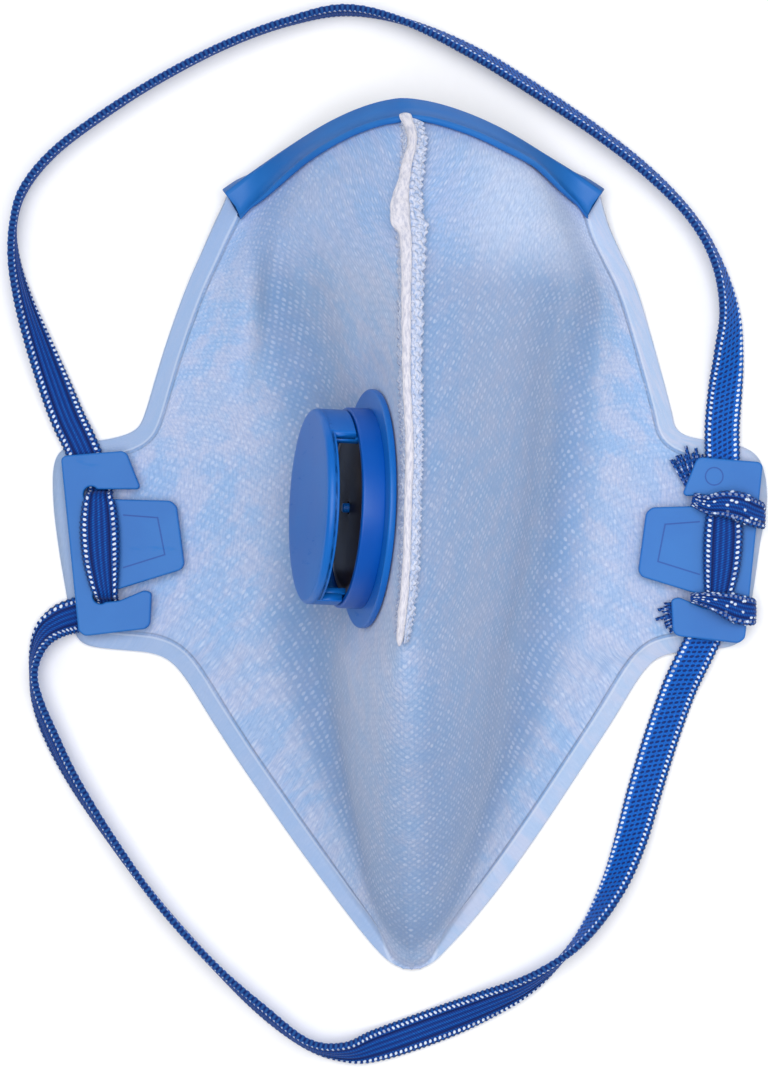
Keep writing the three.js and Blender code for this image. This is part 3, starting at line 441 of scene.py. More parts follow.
def half_section(row, side):
    """One half of a cross-section, from the top of the wall to the rim, as (x, z)."""
    hand = "left" if side < 0 else "right"
    foot, bow = row[hand + "_foot"], row[hand + "_bow"]
    drop = row["ridge_z"] - row["foot_z"]

    def wall(d):
        return Vector((row["ridge_x"] + side * foot * d ** bow, row["ridge_z"] - drop * d))

    def flare(t):
        x = row["ridge_x"] * (1 - t) + side * (foot + (row["root_x"] - foot) * t)
        return Vector((x, row["rim_z"] + (row["foot_z"] - row["rim_z"]) * (1 - t) ** FLARE_CURVE))

    points = [wall(d) for d in WALL_DROPS]
    points += [quadratic(wall(WALL_DROPS[-1]), wall(1.0), flare(FLARE_STEPS[0]), t) for t in ROUND_STEPS]
    points += [flare(t) for t in FLARE_STEPS]
    border = row[hand + "_rim"] - row["root_x"]
    points += [Vector((side * (row["root_x"] + border * t), row["rim_z"])) for t in BORDER_STEPS]
    return points


def flatten_seat(point, ridge_x):
    """The stiff valve flange pulls the left wall flat under it."""
    height, flat = seat_offset(point)
    weight = smooth_step((SEAT_RADIUS + SEAT_BLEND - flat.length) / SEAT_BLEND)
    weight *= smooth_step((ridge_x - point.x) / 0.0015)
    return point - seat_axis() * (height * weight)


def cloth_section(position):
    """A whole cross-section from the left rim to the right rim."""
    row = smooth_row(SECTIONS, position)
    left, right = half_section(row, -1), half_section(row, 1)
    peak = Vector((row["ridge_x"], row["ridge_z"] + CROWN_RISE))
    crown = [quadratic(left[0], peak, right[0], t) for t in CROWN_STEPS]
    section = []
    for point in left[::-1] + crown + right:
        hand = "left" if point.x < row["ridge_x"] else "right"
        curl = row[hand + "_curl"]
        rim_x = row["right_rim"] if hand == "right" else -row["left_rim"]
        across = abs(point.x - row["ridge_x"]) / abs(rim_x - row["ridge_x"])
        start = 0.01 ** (curl / 2)
        bend = ((across ** 2 + 0.01) ** (curl / 2) - start) / (1.01 ** (curl / 2) - start)
        y = row["ridge_y"] + (row["rim_y"] - row["ridge_y"]) * bend
        section.append(flatten_seat(Vector((point.x, y, point.y)), row["ridge_x"]))
    return section


def grid_normals(grid):
    rows, columns = len(grid), len(grid[0])
    normals = []
    for i in range(rows):
        above, below = grid[max(i - 1, 0)], grid[min(i + 1, rows - 1)]
        line = []
        for j in range(columns):
            across = grid[i][min(j + 1, columns - 1)] - grid[i][max(j - 1, 0)]
            line.append(across.cross(above[j] - below[j]).normalized())
        normals.append(line)
    return normals


def distance_to_segment(x, y, crease):
    ax, ay = crease["x0"], crease["y0"]
    bx, by = crease["x1"] - ax, crease["y1"] - ay
    t = clamp(((x - ax) * bx + (y - ay) * by) / (bx * bx + by * by))
    fade = smooth_step(min(t, 1 - t) * 5)
    return math.hypot(x - ax - bx * t, y - ay - by * t), fade


def cloth_relief(point, rim_distance):
    """How far soft waves, creases and the pressed border move the cloth along its normal."""
    seat = (point - SEAT_CENTRE).length
    free = smooth_step((seat - SEAT_RADIUS) / SEAT_BLEND) * smooth_step(rim_distance / 0.010)
    wave = sum(height * noise.noise(point / length) for height, length in WAVES)
    crease = 0.0
    for row in CREASES:
        distance, fade = distance_to_segment(point.x, point.y, row)
        crease -= row["depth"] * bump_of(distance, row["width"]) * fade
    return wave * free + crease - BORDER_DEPTH * smooth_step((BORDER_WIDTH - rim_distance) / 0.0008)


def cloth_grid():
    """The finished outer surface of the cloth: its points, and how far each lies from the edge."""
    last = len(SECTIONS) - 1
    grid = [cloth_section(last * i / CLOTH_ROWS) for i in range(CLOTH_ROWS + 1)]
    columns = len(grid[0])
    for _ in range(RIM_PASSES):
        for j in list(range(RIM_COLUMNS)) + list(range(columns - RIM_COLUMNS, columns)):
            line = [row[j] for row in grid]
            for i in range(1, CLOTH_ROWS):
                grid[i][j] = (line[i - 1] + line[i] * 2 + line[i + 1]) / 4
    normals = grid_normals(grid)
    rim = grid[0] + [row[0] for row in grid] + [row[-1] for row in grid]
    tree = kdtree.KDTree(len(rim))
    for i, point in enumerate(rim):
        tree.insert(point, i)
    tree.balance()

    def rim_distance(point):
        return tree.find(point)[2] + BORDER_TAPER * max(0, BORDER_TAPER_START - point.y)

    distances = [[rim_distance(point) for point in row] for row in grid]
    moved = [
        [point + normals[i][j] * cloth_relief(point, distances[i][j]) for j, point in enumerate(row)]
        for i, row in enumerate(grid)
    ]
    return moved, distances


LEVEL_Y = 0.008  # where the row lies that the chart's lengths down the cloth start from


def cloth_chart(grid):
    """Lengths over the cloth in millimetres: outwards from the ridge, and down from a middle row."""
    rows, columns = len(grid), len(grid[0])
    ridge = columns // 2
    level = next(i for i in range(rows) if grid[i][ridge].y < LEVEL_Y)
    out = [[0.0] * columns for _ in range(rows)]
    down = [[0.0] * columns for _ in range(rows)]
    for i in range(rows):
        for j in range(ridge + 1, columns):
            out[i][j] = out[i][j - 1] + (grid[i][j] - grid[i][j - 1]).length / MM
        for j in range(ridge - 1, -1, -1):
            out[i][j] = out[i][j + 1] - (grid[i][j] - grid[i][j + 1]).length / MM
    for j in range(columns):
        down[level][j] = grid[level][j].y / MM
        for i in range(level + 1, rows):
            down[i][j] = down[i - 1][j] - (grid[i][j] - grid[i - 1][j]).length / MM
        for i in range(level - 1, -1, -1):
            down[i][j] = down[i + 1][j] + (grid[i][j] - grid[i + 1][j]).length / MM
    return lambda i, j: (out[i][j], down[i][j])


FLOOR_REST = 0.7 * CLOTH  # lowest height of the outer surface where the cloth rests
CHIN_TIP_Y = -0.0838


def build_facepiece(grid, distances, material):
    bm = bmesh.new()
    rim = bm.verts.layers.float.new("rim")
    rows, columns = len(grid) - 1, len(grid[0]) - 1
    where = shaped_grid(bm, columns, rows, lambda i, j: grid[rows - i][j], cloth_chart(grid[::-1]))
    for vertex, (i, j) in where.items():
        vertex[rim] = distances[rows - i][j] / MM
    cut_port(bm)
    for vertex in bm.verts:
        vertex.co.z = max(vertex.co.z, FLOOR_REST)
    bmesh.ops.recalc_face_normals(bm, faces=bm.faces)
    if sum(face.normal.z for face in bm.faces) < 0:
        bmesh.ops.reverse_faces(bm, faces=bm.faces)
    piece = finish_piece(bm, "facepiece_cloth", [material], ["facepiece"])
    wall = piece.modifiers.new("wall", "SOLIDIFY")
    wall.thickness = CLOTH
    wall.offset = -1
    pressed = piece.vertex_groups.new(name="thickness")
    attribute = piece.data.attributes["rim"]
    for vertex, item in zip(piece.data.vertices, attribute.data):
        tip = 0.15 + 0.85 * smooth_step((vertex.co.y - CHIN_TIP_Y) / 0.003)
        pressed.add([vertex.index], tip * (0.66 + 0.34 * smooth_step((item.value - 3.0) / 0.8)), "REPLACE")
    wall.vertex_group = "thickness"
    return piece


def cut_port(bm):
    """Opens the round port under the valve."""
    def within(point, reach):
        height, flat = seat_offset(point)
        return abs(height) < 0.004 and flat.length < reach

    inside = [face for face in bm.faces if within(face.calc_center_median(), PORT_RADIUS)]
    bmesh.ops.delete(bm, geom=inside, context="FACES")
    for vertex in bm.verts:
        if vertex.is_boundary and within(vertex.co, PORT_RADIUS + 0.002):
            height, flat = seat_offset(vertex.co)
            vertex.co = SEAT_CENTRE + seat_axis() * height + flat.normalized() * PORT_RADIUS


# ---------------------------------------------------------------- the welded seam

def ridge_frames(steps):
    def point(position):
        row = smooth_row(SECTIONS, position)
        return Vector((row["ridge_x"], row["ridge_y"], row["ridge_z"]))

    frames = []
    for position in spread(SEAM_FIRST_ROW, SEAM_LAST_ROW, steps):
        forward = (point(position + 0.05) - point(position - 0.05)).normalized()
        side = Vector((1, 0, 0))
        frames.append((point(position), side, forward.cross(side).normalized()))
    return frames


def build_seam_core(material):
    """The white filter layers squeezed out between the two welded flaps."""
    steps = 300
    frames = ridge_frames(steps)

    def outline(i):
        at = i / steps
        row = row_at(SEAM, at)
        end = math.sqrt(clamp((1.0 - at) / 0.012))
        wide = row["core"] * (1 + 0.10 * noise.noise((at * 60, 0, 0))) * max(end, 0.15)
        lean = row["lean"] + 0.00015 * noise.noise((at * 25, 3, 0))
        tall = 0.0030 + 0.00025 * noise.noise((at * 70, 7, 0))
        top = arc((0, 0), 1.0, 0, 180, 14)
        crown = [(lean + wide * x * (1 + 0.06 * noise.noise((at * 150, x * 3, 0))),
                  tall - 0.0007 * end + 0.0007 * end * y) for x, y in top]
        return [(-wide * 0.8, 0.0011), (wide * 0.8, 0.0011)] + crown

    bm = bmesh.new()
    rings = carried(outline, frames)
    swept_tube(bm, rings, arc_chart(rings))
    return finish_piece(bm, "seam_filter_core", [material], ["seam_core"])


def build_seam_flaps(material):
    """The welded edges of the two cheek panels, with ragged outer edges and pressed lumps."""
    steps = 420
    frames = ridge_frames(steps)
    thick = 0.0004

    def ragged(at, reach, seed):
        tooth = 0.5 + 0.5 * math.sin(at * 2 * math.pi * 78 + 2.5 * noise.noise((at * 40, seed, 0)))
        return reach + 0.00045 * tooth + 0.0004 * noise.noise((at * 55, seed, 1))

    def lump(at, across, seed):
        return 0.00016 * noise.noise((at * 170, across * 4, seed))

    def flap(at, hand, seed):
        row = row_at(SEAM, at)
        reach = ragged(at, row["right" if hand > 0 else "left"], seed)
        fall, curve = (0.00012, 0.0011) if hand > 0 else (0.0011, 0.0018)
        near = 0.0004
        upper, lower = [], []
        for t in spread(0.0, 1.0, 7):
            x = near + (reach - near) * t
            y = 0.0017 - fall * t - curve * t ** 2 + lump(at, t * 3, seed) * min(1, 3 * t)
            upper.append((hand * x, y))
            lower.append((hand * x, y - thick * (1 - 0.4 * t)))
        return upper + lower[::-1]

    bm = bmesh.new()
    for hand, seed in ((1, 11), (-1, 23)):
        rings = carried(lambda i: flap(i / steps, hand, seed), frames)
        swept_tube(bm, rings, arc_chart(rings))
    return finish_piece(bm, "seam_weld_flaps", [material], ["seam_allowance"])


# ---------------------------------------------------------------- the nose clip

CHANNEL_STEP = 0.0011
CHANNEL_ROWS = 60  # rows of the cloth that the channel can reach
INNER_ROW = 8  # the row that shows which way the cloth runs at its nose edge
TURN_PASSES = 60  # how often the turns along the channel are evened out
LEAF_START = -0.0008  # inwards of this the upper leaf lies on the cloth


def nose_frames(grid):
    """Frames along the nose edge: outwards from the cloth, and square to it."""
    edge, inner = grid[0], grid[INNER_ROW]
    lengths = running_lengths(edge)
    count = round(lengths[-1] / CHANNEL_STEP)
    frames = []
    for j, t in stations(lengths, count):
        out = (edge[j] - inner[j]).lerp(edge[j + 1] - inner[j + 1], t)
        frames.append([edge[j].lerp(edge[j + 1], t), out.normalized()])
    for _ in range(TURN_PASSES):
        middle = [frames[i][1] + frames[i - 1][1] + frames[i + 1][1] for i in range(1, count)]
        for i, out in enumerate(middle):
            frames[i + 1][1] = out.normalized()
    squared = []
    for i, (place, out) in enumerate(frames):
        forward = (frames[min(i + 1, count)][0] - frames[max(i - 1, 0)][0]).normalized()
        side = (out - forward * out.dot(forward)).normalized()
        squared.append((place, side, forward.cross(side)))
    return squared


def laid_on_cloth(rings, outline, grid):
    """Moves the inner part of a channel's upper leaf so that it follows the cloth below it."""
    columns = len(grid[0])
    places = [place for row in grid[:CHANNEL_ROWS] for place in row]
    faces = []
    for i in range(CHANNEL_ROWS - 1):
        for j in range(columns - 1):
            first = i * columns + j
            faces.append((first, first + 1, first + columns + 1, first + columns))
    cloth = bvhtree.BVHTree.FromPolygons(places, faces)
    for ring in rings:
        for j, (x, y) in enumerate(outline):
            if x > LEAF_START or y < 0:
                continue
            near, normal = cloth.find_nearest(ring[j])[:2]
            if normal.z < 0:
                normal = -normal
            share = smooth_step((LEAF_START - x) / 0.002)
            ring[j] = ring[j].lerp(near + normal * y, share)
    return rings


def build_nose_clip(grid, material):
    """A channel folded over the nose edge, with a rolled lip along its lower side."""
    under = -CLOTH - 0.0003
    outline = (
        [(-0.0046, 0.0003), (-0.0050, 0.0004)]
        + arc((-0.0051, 0.00105), 0.00065, 250, 60, 9)
        + [(-0.0044, 0.00122), (-0.0020, 0.00122), (0.0004, 0.00120), (0.00065, 0.00105)]
        + arc((0.00055, 0.00025), 0.00065, 60, 0, 4)
        + arc((0.00030, under - 0.0001), 0.0009, 0, -90, 5)
        + [(-0.0030, under - 0.001), (-0.0046, under - 0.0009), (-0.0048, under - 0.0005), (-0.0046, under)]
        + [(0.0001, under), (0.0003, under + 0.0002), (0.0003, 0.0001), (0.0001, 0.0003)]
    )
    bm = bmesh.new()
    rings = laid_on_cloth(carried(outline, nose_frames(grid)), outline, grid)
    swept_tube(bm, rings, arc_chart(rings))
    ends = [face for face in bm.faces if len(face.verts) > 4]
    edges = {edge for face in ends for edge in face.edges}
    bmesh.ops.bevel(
        bm, geom=list(edges), offset=0.00018, segments=2, profile=0.5, affect="EDGES", material=-1,
        clamp_overlap=True,
    )
    return finish_piece(bm, "nose_clip_channel", [material], ["nose_clip"])


# ---------------------------------------------------------------- the outlet valve

WINDOW_HALF = 60  # degrees each way from the middle of a window in the valve's wall
WINDOW_CENTRES = (-12, 168)


def rounded(profile, radius, steps=4):
    """Rounds each corner of a closed profile, apart from points on the axis."""
    points = [Vector(point) for point in profile]
    count = len(points)
    result = []
    for i, corner in enumerate(points):
        before, after = points[i - 1] - corner, points[(i + 1) % count] - corner
        if corner.x < 1e-6 or min(before.length, after.length) < 1e-7:
            result.append(tuple(corner))
            continue
        reach = min(radius, before.length * 0.45, after.length * 0.45)
        start, end = corner + before.normalized() * reach, corner + after.normalized() * reach
        result += [tuple(quadratic(start, corner, end, t)) for t in spread(0, 1, steps)]
    return result


def build_valve_base(material, collar_shade_material):
    bm = bmesh.new()
    lathe(bm, rounded([(.008, .0003), (.0223, .0003), (.0223, .0016), (.008, .0016)], .0004))
    # the collar, in the second material: a deeper blue copy of the valve plastic that paints its shade
    lathe(bm, rounded([(.0172, .0014), (.0187, .0014), (.0187, .0058), (.0172, .0058)], .00045), material=1)
    lathe(bm, rounded([(.0134, .0014), (.0152, .0014), (.0152, .0036), (.0134, .0036)], .0002))
    lathe(bm, rounded([(0, .0005), (.0022, .0005), (.0022, .0036), (0, .0036)], .0003), steps=32)
    lathe(bm, rounded([(0, .0020), (.0009, .0020), (.0009, .0056), (0, .0056)], .0003), steps=24)
    for degrees in (0, 60, 120):
        made = bmesh.ops.create_cube(bm, size=1.0)["verts"]
        bmesh.ops.scale(bm, verts=made, vec=(2 * PORT_RADIUS + 0.002, 0.0014, 0.0011))
        bmesh.ops.rotate(bm, verts=made, matrix=Matrix.Rotation(math.radians(degrees), 3, "Z"))
        bmesh.ops.translate(bm, verts=made, vec=(0, 0, 0.00095))
    bm.transform(seat_matrix())
    materials = [material, collar_shade_material]
    return finish_piece(bm, "valve_base_moulding", materials, ["valve_base"])


def build_valve_membrane(material):
    bm = bmesh.new()
    lathe(bm, rounded([(.0012, .0039), (.0162, .0039), (.0162, .0045), (.0012, .0045)], .0002))
    bm.transform(seat_matrix())
    return finish_piece(bm, "valve_membrane_disc", [material], ["valve_membrane"])


def build_valve_cap(material):
    bm = bmesh.new()
    dome = [(0, .0107), (.0176, .0107), (.0182, .0104)]
    dome += [(.0182, .0112)] + [(.0172 + x, .0112 + y) for x, y in arc((0, 0), .0010, 0, 90, 8)]
    dome += [(.0160, .01222), (.0120, .01205), (0, .0120)]
    lathe(bm, dome)
    posts = 180 - 2 * WINDOW_HALF
    outer_post = [(.0167, .0061), (.0182, .0061), (.0182, .0110), (.0167, .0110)]
    inner_post = [(.0157, .0054), (.0168, .0054), (.0168, .0108), (.0157, .0108)]
    for centre in WINDOW_CENTRES:
        for post in (outer_post, inner_post):
            lathe(bm, rounded(post, .0002), start=centre + WINDOW_HALF, turn=posts, steps=24)
    lathe(bm, rounded([(.0150, .0100), (.0182, .0100), (.0182, .0110), (.0150, .0110)], .0002))
    bm.transform(seat_matrix())
    return finish_piece(bm, "valve_cap_moulding", [material], ["valve_cap"])


# ---------------------------------------------------------------- the strap clips

def on_clip(side, x, y):
    """A place on the left clip, or the mirrored place on the right one."""
    shift = MIRROR_SHIFT if side > 0 else Vector((0, 0))
    return Vector((-side * x, y)) + shift


def end_between(a, b):
    """The middle of a slot's end, if that end runs from a to b."""
    return next((end for end in SLOT_ENDS if end[0] == a[0] == b[0]), None)


def clip_outline():
    """The outline of the clip, with round ends where its two slots reach into the spine."""
    points = []
    for i, point in enumerate(CLIP_OUTLINE):
        after = CLIP_OUTLINE[(i + 1) % len(CLIP_OUTLINE)]
        end = end_between(point, after)
        before = CLIP_OUTLINE[i - 1]
        slot_before = end_between(before, point)
        if end:
            half = (point[1] - after[1]) / 2
            lean = math.degrees(math.asin(half / SLOT_RADIUS))
            points += arc((end[0], (point[1] + after[1]) / 2), SLOT_RADIUS, lean, 360 - lean, 14)
        elif not slot_before:
            points.append(point)
    return points


def soft_corners(outline, radius):
    return rounded([(x + 1.0, y) for x, y in outline], radius, 3)


def thin_line(bm, corners, width, base, top, closed=False):
    """Adds a raised moulded line through corners, in the piece's second material, a darker plastic that
    paints the shade of the moulded step.
    """
    plain = set(bm.faces)
    pairs = list(zip(corners, corners[1:]))
    if closed:
        pairs.append((corners[-1], corners[0]))
    for i, (a, b) in enumerate(pairs):
        a, b = Vector(a), Vector(b)
        along = (b - a).normalized() * (width / 2)
        across = Vector((-along.y, along.x))
        a, b = a - along, b + along
        prism(bm, [a - across, b - across, b + across, a + across], base, top + (i % 2) * 1e-5)
    for face in bm.faces:
        if face not in plain:
            face.material_index = 1


def build_strap_clip(side, hand, material, line_shade_material):
    bm = bmesh.new()
    outline = soft_corners(clip_outline(), 0.0006)
    outline = [on_clip(side, x - 1.0, y) for x, y in outline]
    prism(bm, outline, PLATE_BASE, PLATE_TOP, bevel=0.00035)
    prism(bm, [on_clip(side, x, y) for x, y in CLIP_SEAT], SEAT_BASE, PLATE_BASE + 0.0002)
    line = [on_clip(side, x, y) for x, y in TONGUE_LINE]
    thin_line(bm, line, 0.00026, PLATE_TOP - 0.0002, PLATE_TOP + 0.00006)
    if side > 0:
        centre = on_clip(side, -0.0589, 0.0121)
        ring = [centre + Vector(point) for point in arc((0, 0), 0.00170, 0, 345, 23)]
        thin_line(bm, ring, 0.00022, PLATE_TOP - 0.0002, PLATE_TOP + 0.00005, closed=True)
    return finish_piece(
        bm, "strap_clip_plate_" + hand, [material, line_shade_material], ["strap_clip_" + hand],
        smooth=False,
    )


# ---------------------------------------------------------------- the knitted strap

STEPS_PER_STITCH = 5
WALE_PITCH = 0.00098


def strap_thick(lift):
    """A strap thins where it is lifted into a clip that pinches it."""
    held = smooth_step((lift - LOOSE_LIFT) / (HELD_LIFT - LOOSE_LIFT))
    return STRAP_THICK + (HELD_THICK - STRAP_THICK) * held


def strap_centre(route, position):
    """The middle of the strap, which stands on its lower edge."""
    row = smooth_row(route, clamp(position, 0, len(route) - 1))
    roll = math.radians(row["roll"])
    rise = abs(math.sin(roll)) * STRAP_WIDTH / 2 + abs(math.cos(roll)) * strap_thick(row["lift"]) / 2
    return Vector((row["x"], row["y"], max(row["lift"], 0.00005) + rise))


def strap_frames(route):
    """Frames one fifth of a stitch apart along a free strap, and its middle line."""
    last = len(route) - 1
    fine = spread(0.0, last, last * 60)
    points = [strap_centre(route, position) for position in fine]
    for _ in range(8):
        heights = [p.z for p in points]
        for k in range(1, len(points) - 1):
            points[k].z = (heights[k - 1] + heights[k] * 2 + heights[k + 1]) / 4
    lengths = running_lengths(points)
    frames = []
    for k, t in stations(lengths, round(lengths[-1] / STITCH * STEPS_PER_STITCH)):
        place = points[k].lerp(points[k + 1], t)
        row = smooth_row(route, fine[k] + (fine[k + 1] - fine[k]) * t)
        roll = math.radians(row["roll"])
        near, far = points[max(k - 6, 0)], points[min(k + 7, len(points) - 1)]
        forward = (far - near).normalized()
        level = Vector((0, 0, 1)).cross(forward).normalized()
        upright = forward.cross(level)
        side = level * math.cos(roll) + upright * math.sin(roll)
        thin = strap_thick(row["lift"]) / STRAP_THICK
        frames.append((place, side, forward.cross(side) * thin))
    return frames, [frame[0] for frame in frames[::STEPS_PER_STITCH]] + [frames[-1][0]]


def short_frames(rows, across):
    """Frames along a short length of strap through a few places."""
    last = len(rows) - 1
    fine = spread(0.0, last, last * 60)
    points = [Vector([smooth_row(rows, p)[n] for n in "xyz"]) for p in fine]
    lengths = running_lengths(points)
    frames = []
    for k, t in stations(lengths, max(8, round(lengths[-1] / STITCH * STEPS_PER_STITCH))):
        row = smooth_row(rows, fine[k] + (fine[k + 1] - fine[k]) * t)
        near, far = points[max(k - 25, 0)], points[min(k + 26, len(points) - 1)]
        forward = (far - near).normalized()
        level = (across - forward * across.dot(forward)).normalized()
        frames.append((
            points[k].lerp(points[k + 1], t),
            level * (row["width"] / STRAP_WIDTH),
            forward.cross(level) * row["thick"],
        ))
    return frames


def edge_loops(along):
    """1 at the middle of a loop of the strap's edge, and 0 between two loops."""
    return 0.5 + 0.5 * math.cos(2 * math.pi * along / STITCH)


def knit_half(u, along, ribbed):
    """Half the strap's thickness at a distance u from its middle line, on its ribbed or its flat face."""
    edge = abs(u)
    loops = edge_loops(along)
    if edge > 0.0029:
        return 0.00058 * math.sqrt(clamp(1 - ((edge - 0.0029) / 0.0006) ** 2)) * (0.72 + 0.28 * loops)
    if not ribbed:
        return 0.00062 + 0.00008 * math.cos(math.pi * u / WALE_PITCH) * math.cos(math.pi * along / STITCH)
    rib = abs(math.cos(math.pi * u / WALE_PITCH)) ** 0.6
    groove = bump_of(edge - 0.00172, 0.00020)
    return 0.00050 + 0.00030 * rib - 0.00026 * groove


ACROSS_STEPS = 21


def knit_outline(i):
    """The strap's outline at one step: looped edges, ribs above and a flatter face below."""
    along = i * STITCH / STEPS_PER_STITCH
    loops = edge_loops(along)
    half = STRAP_WIDTH / 2
    upper, lower = [], []
    for t in spread(0.0, 1.0, ACROSS_STEPS):
        u = -half * math.cos(math.pi * t) * 0.35 + half * (2 * t - 1) * 0.65
        reach = 1 - 0.075 * (1 - loops) * smooth_step((abs(u) - 0.0026) / 0.0008)
        upper.append((u * reach, knit_half(u, along, True)))
        lower.append((u * reach, -knit_half(u, along, False)))
    return upper[:-1] + lower[:0:-1]


def knit_chart(i, j):
    """A UV in millimetres: right round the strap's two faces, and along it."""
    around = 2 * ACROSS_STEPS
    width = STRAP_WIDTH / MM
    t = (j if j <= ACROSS_STEPS else around - j) / ACROSS_STEPS
    u = width / 2 * (1 - math.cos(math.pi * t) * 0.35 + (2 * t - 1) * 0.65)
    across = u if j <= ACROSS_STEPS else 2 * width - u
    return across, i / STEPS_PER_STITCH


def knit(name, frames, replaced, material):
    bm = bmesh.new()
    swept_tube(bm, carried(knit_outline, frames), knit_chart)
    return finish_piece(bm, name, [material], [replaced])


def build_free_strap(name, route, replaced, material):
    frames, points = strap_frames(route)
    piece = knit(name, frames, replaced, material)


# ---------------------------------------------------------------- shading

def node(tree, kind, links=None, **settings):
    """Adds a shader node, sets its properties, and fills its inputs with links or values."""
    made = tree.nodes.new("ShaderNode" + kind)
    for name, value in settings.items():
        setattr(made, name, value)
    for name, value in (links or {}).items():
        socket = made.inputs[name]
        if isinstance(value, bpy.types.NodeSocket):
            tree.links.new(value, socket)
        else:
            socket.default_value = value
    return made


def sums(tree, operation, *values):
    return node(tree, "Math", dict(enumerate(values)), operation=operation).outputs[0]


def times(tree, a, b):
    return sums(tree, "MULTIPLY", a, b)


def mixed(tree, factor, a, b):
    return node(tree, "Mix", {0: factor, 6: a, 7: b}, data_type="RGBA").outputs[2]


def tinted(tree, base, tints):
    """A base colour with others laid over it: each tint is (mask, share, colour)."""
    for mask, share, colour in tints:
        base = mixed(tree, times(tree, mask, share), base, srgb(*colour))
    return base


def ranged(tree, value, low, high, to_low=0.0, to_high=1.0):
    return node(
        tree, "MapRange", {0: value, 1: low, 2: high, 3: to_low, 4: to_high}, interpolation_type="SMOOTHSTEP",
    ).outputs[0]


def noisy(tree, vector, scale, detail=3.0, roughness=0.55):
    links = {"Vector": vector, "Scale": scale, "Detail": detail, "Roughness": roughness}
    return node(tree, "TexNoise", links).outputs["Fac"]


def effect(name, inputs, outputs):
    """A new shader group: inputs and outputs are (name, socket kind, default)."""
    group = bpy.data.node_groups.new(name, "ShaderNodeTree")
    for label, kind, default in inputs:
        socket = group.interface.new_socket(label, in_out="INPUT", socket_type="NodeSocket" + kind)
        if default is not None:
            socket.default_value = default
    for label, kind in outputs:
        group.interface.new_socket(label, in_out="OUTPUT", socket_type="NodeSocket" + kind)
    source = group.nodes.new("NodeGroupInput")
    target = group.nodes.new("NodeGroupOutput")
    return group, source.outputs, target.inputs


def placed(tree, group, links):
    return node(tree, "Group", links, node_tree=group).outputs


def thermal_dots_effect():
    """A lattice of small pressed dots over a cloth, each a little different."""
    group, given, out = effect(
        "thermal_dots",
        [("UV", "Vector", None), ("Pitch", "Float", 1.25), ("Size", "Float", 0.3)],
        [("Dots", "Float"), ("Chance", "Float")],
    )
    wobble = node(group, "TexNoise", {"Vector": given["UV"], "Scale": 0.35, "Detail": 2.0}).outputs["Color"]
    wobble = node(group, "VectorMath", {0: wobble, 1: (0.5, 0.5, 0.5)}, operation="SUBTRACT").outputs[0]
    links = {0: wobble, 1: (0.9, 0.9, 0), 2: given["UV"]}
    shaken = node(group, "VectorMath", links, operation="MULTIPLY_ADD")
    turned = node(group, "VectorRotate", {"Vector": shaken.outputs[0], "Angle": math.radians(45)})
    split = node(group, "SeparateXYZ", {0: turned.outputs[0]})
    across = sums(group, "DIVIDE", split.outputs[0], given["Pitch"])
    along = sums(group, "DIVIDE", split.outputs[1], given["Pitch"])
    cells, offsets = {}, []
    for i, value in enumerate((across, along)):
        cells[i] = sums(group, "FLOOR", value)
        part = sums(group, "SUBTRACT", sums(group, "SUBTRACT", value, cells[i]), 0.5)
        offsets.append(times(group, part, part))
    radius = sums(group, "SQRT", sums(group, "ADD", *offsets))
    cell = node(group, "CombineXYZ", cells).outputs[0]
    chance = node(group, "TexWhiteNoise", {"Vector": cell}, noise_dimensions="3D").outputs["Value"]
    edge = sums(group, "ADD", given["Size"], times(group, chance, 0.12))
    dots = ranged(group, sums(group, "DIVIDE", radius, edge), 1.15, 0.55)
    group.links.new(dots, out["Dots"])
    group.links.new(chance, out["Chance"])
    return group


def slanted_lines_effect():
    """Faint slanting lines of the pressed pattern, which meet in chevrons on the ridge."""
    group, given, out = effect(
        "slanted_lines", [("UV", "Vector", None)], [("Lines", "Float"), ("Strength", "Float")],
    )
    split = node(group, "SeparateXYZ", {0: given["UV"]}).outputs
    out_from_ridge = sums(group, "ABSOLUTE", split[0])
    shake = times(group, noisy(group, given["UV"], 0.25, 2.0), 2.0)
    lines = []
    for slope, pitch in ((0.85, 1.3), (-0.55, 1.6)):
        way = sums(group, "MULTIPLY_ADD", out_from_ridge, slope, split[1])
        turns = times(group, sums(group, "ADD", way, shake), 2 * math.pi / pitch)
        lines.append(ranged(group, sums(group, "COSINE", turns), 0.1, 0.95))
    group.links.new(sums(group, "MAXIMUM", lines[0], times(group, lines[1], 0.7)), out["Lines"])
    chin = ranged(group, split[1], -14.0, -30.0, 0.10, 0.30)
    near = ranged(group, out_from_ridge, 26.0, 10.0, 0.45, 1.0)
    group.links.new(times(group, chin, near), out["Strength"])
    return group


def fibre_effect():
    """Fine loose fibres and soft clouds of a nonwoven cloth."""
    group, given, out = effect(
        "nonwoven_fibres",
        [("UV", "Vector", None)],
        [("Fibres", "Float"), ("Clouds", "Float"), ("Patches", "Float")],
    )
    stretched = node(group, "VectorMath", {0: given["UV"], 1: (2.4, 0.55, 1)}, operation="MULTIPLY")
    group.links.new(noisy(group, stretched.outputs[0], 1.1, 5.0, 0.62), out["Fibres"])
    group.links.new(noisy(group, given["UV"], 0.16, 4.0, 0.6), out["Clouds"])
    group.links.new(noisy(group, given["UV"], 0.035, 2.0, 0.5), out["Patches"])
    return group


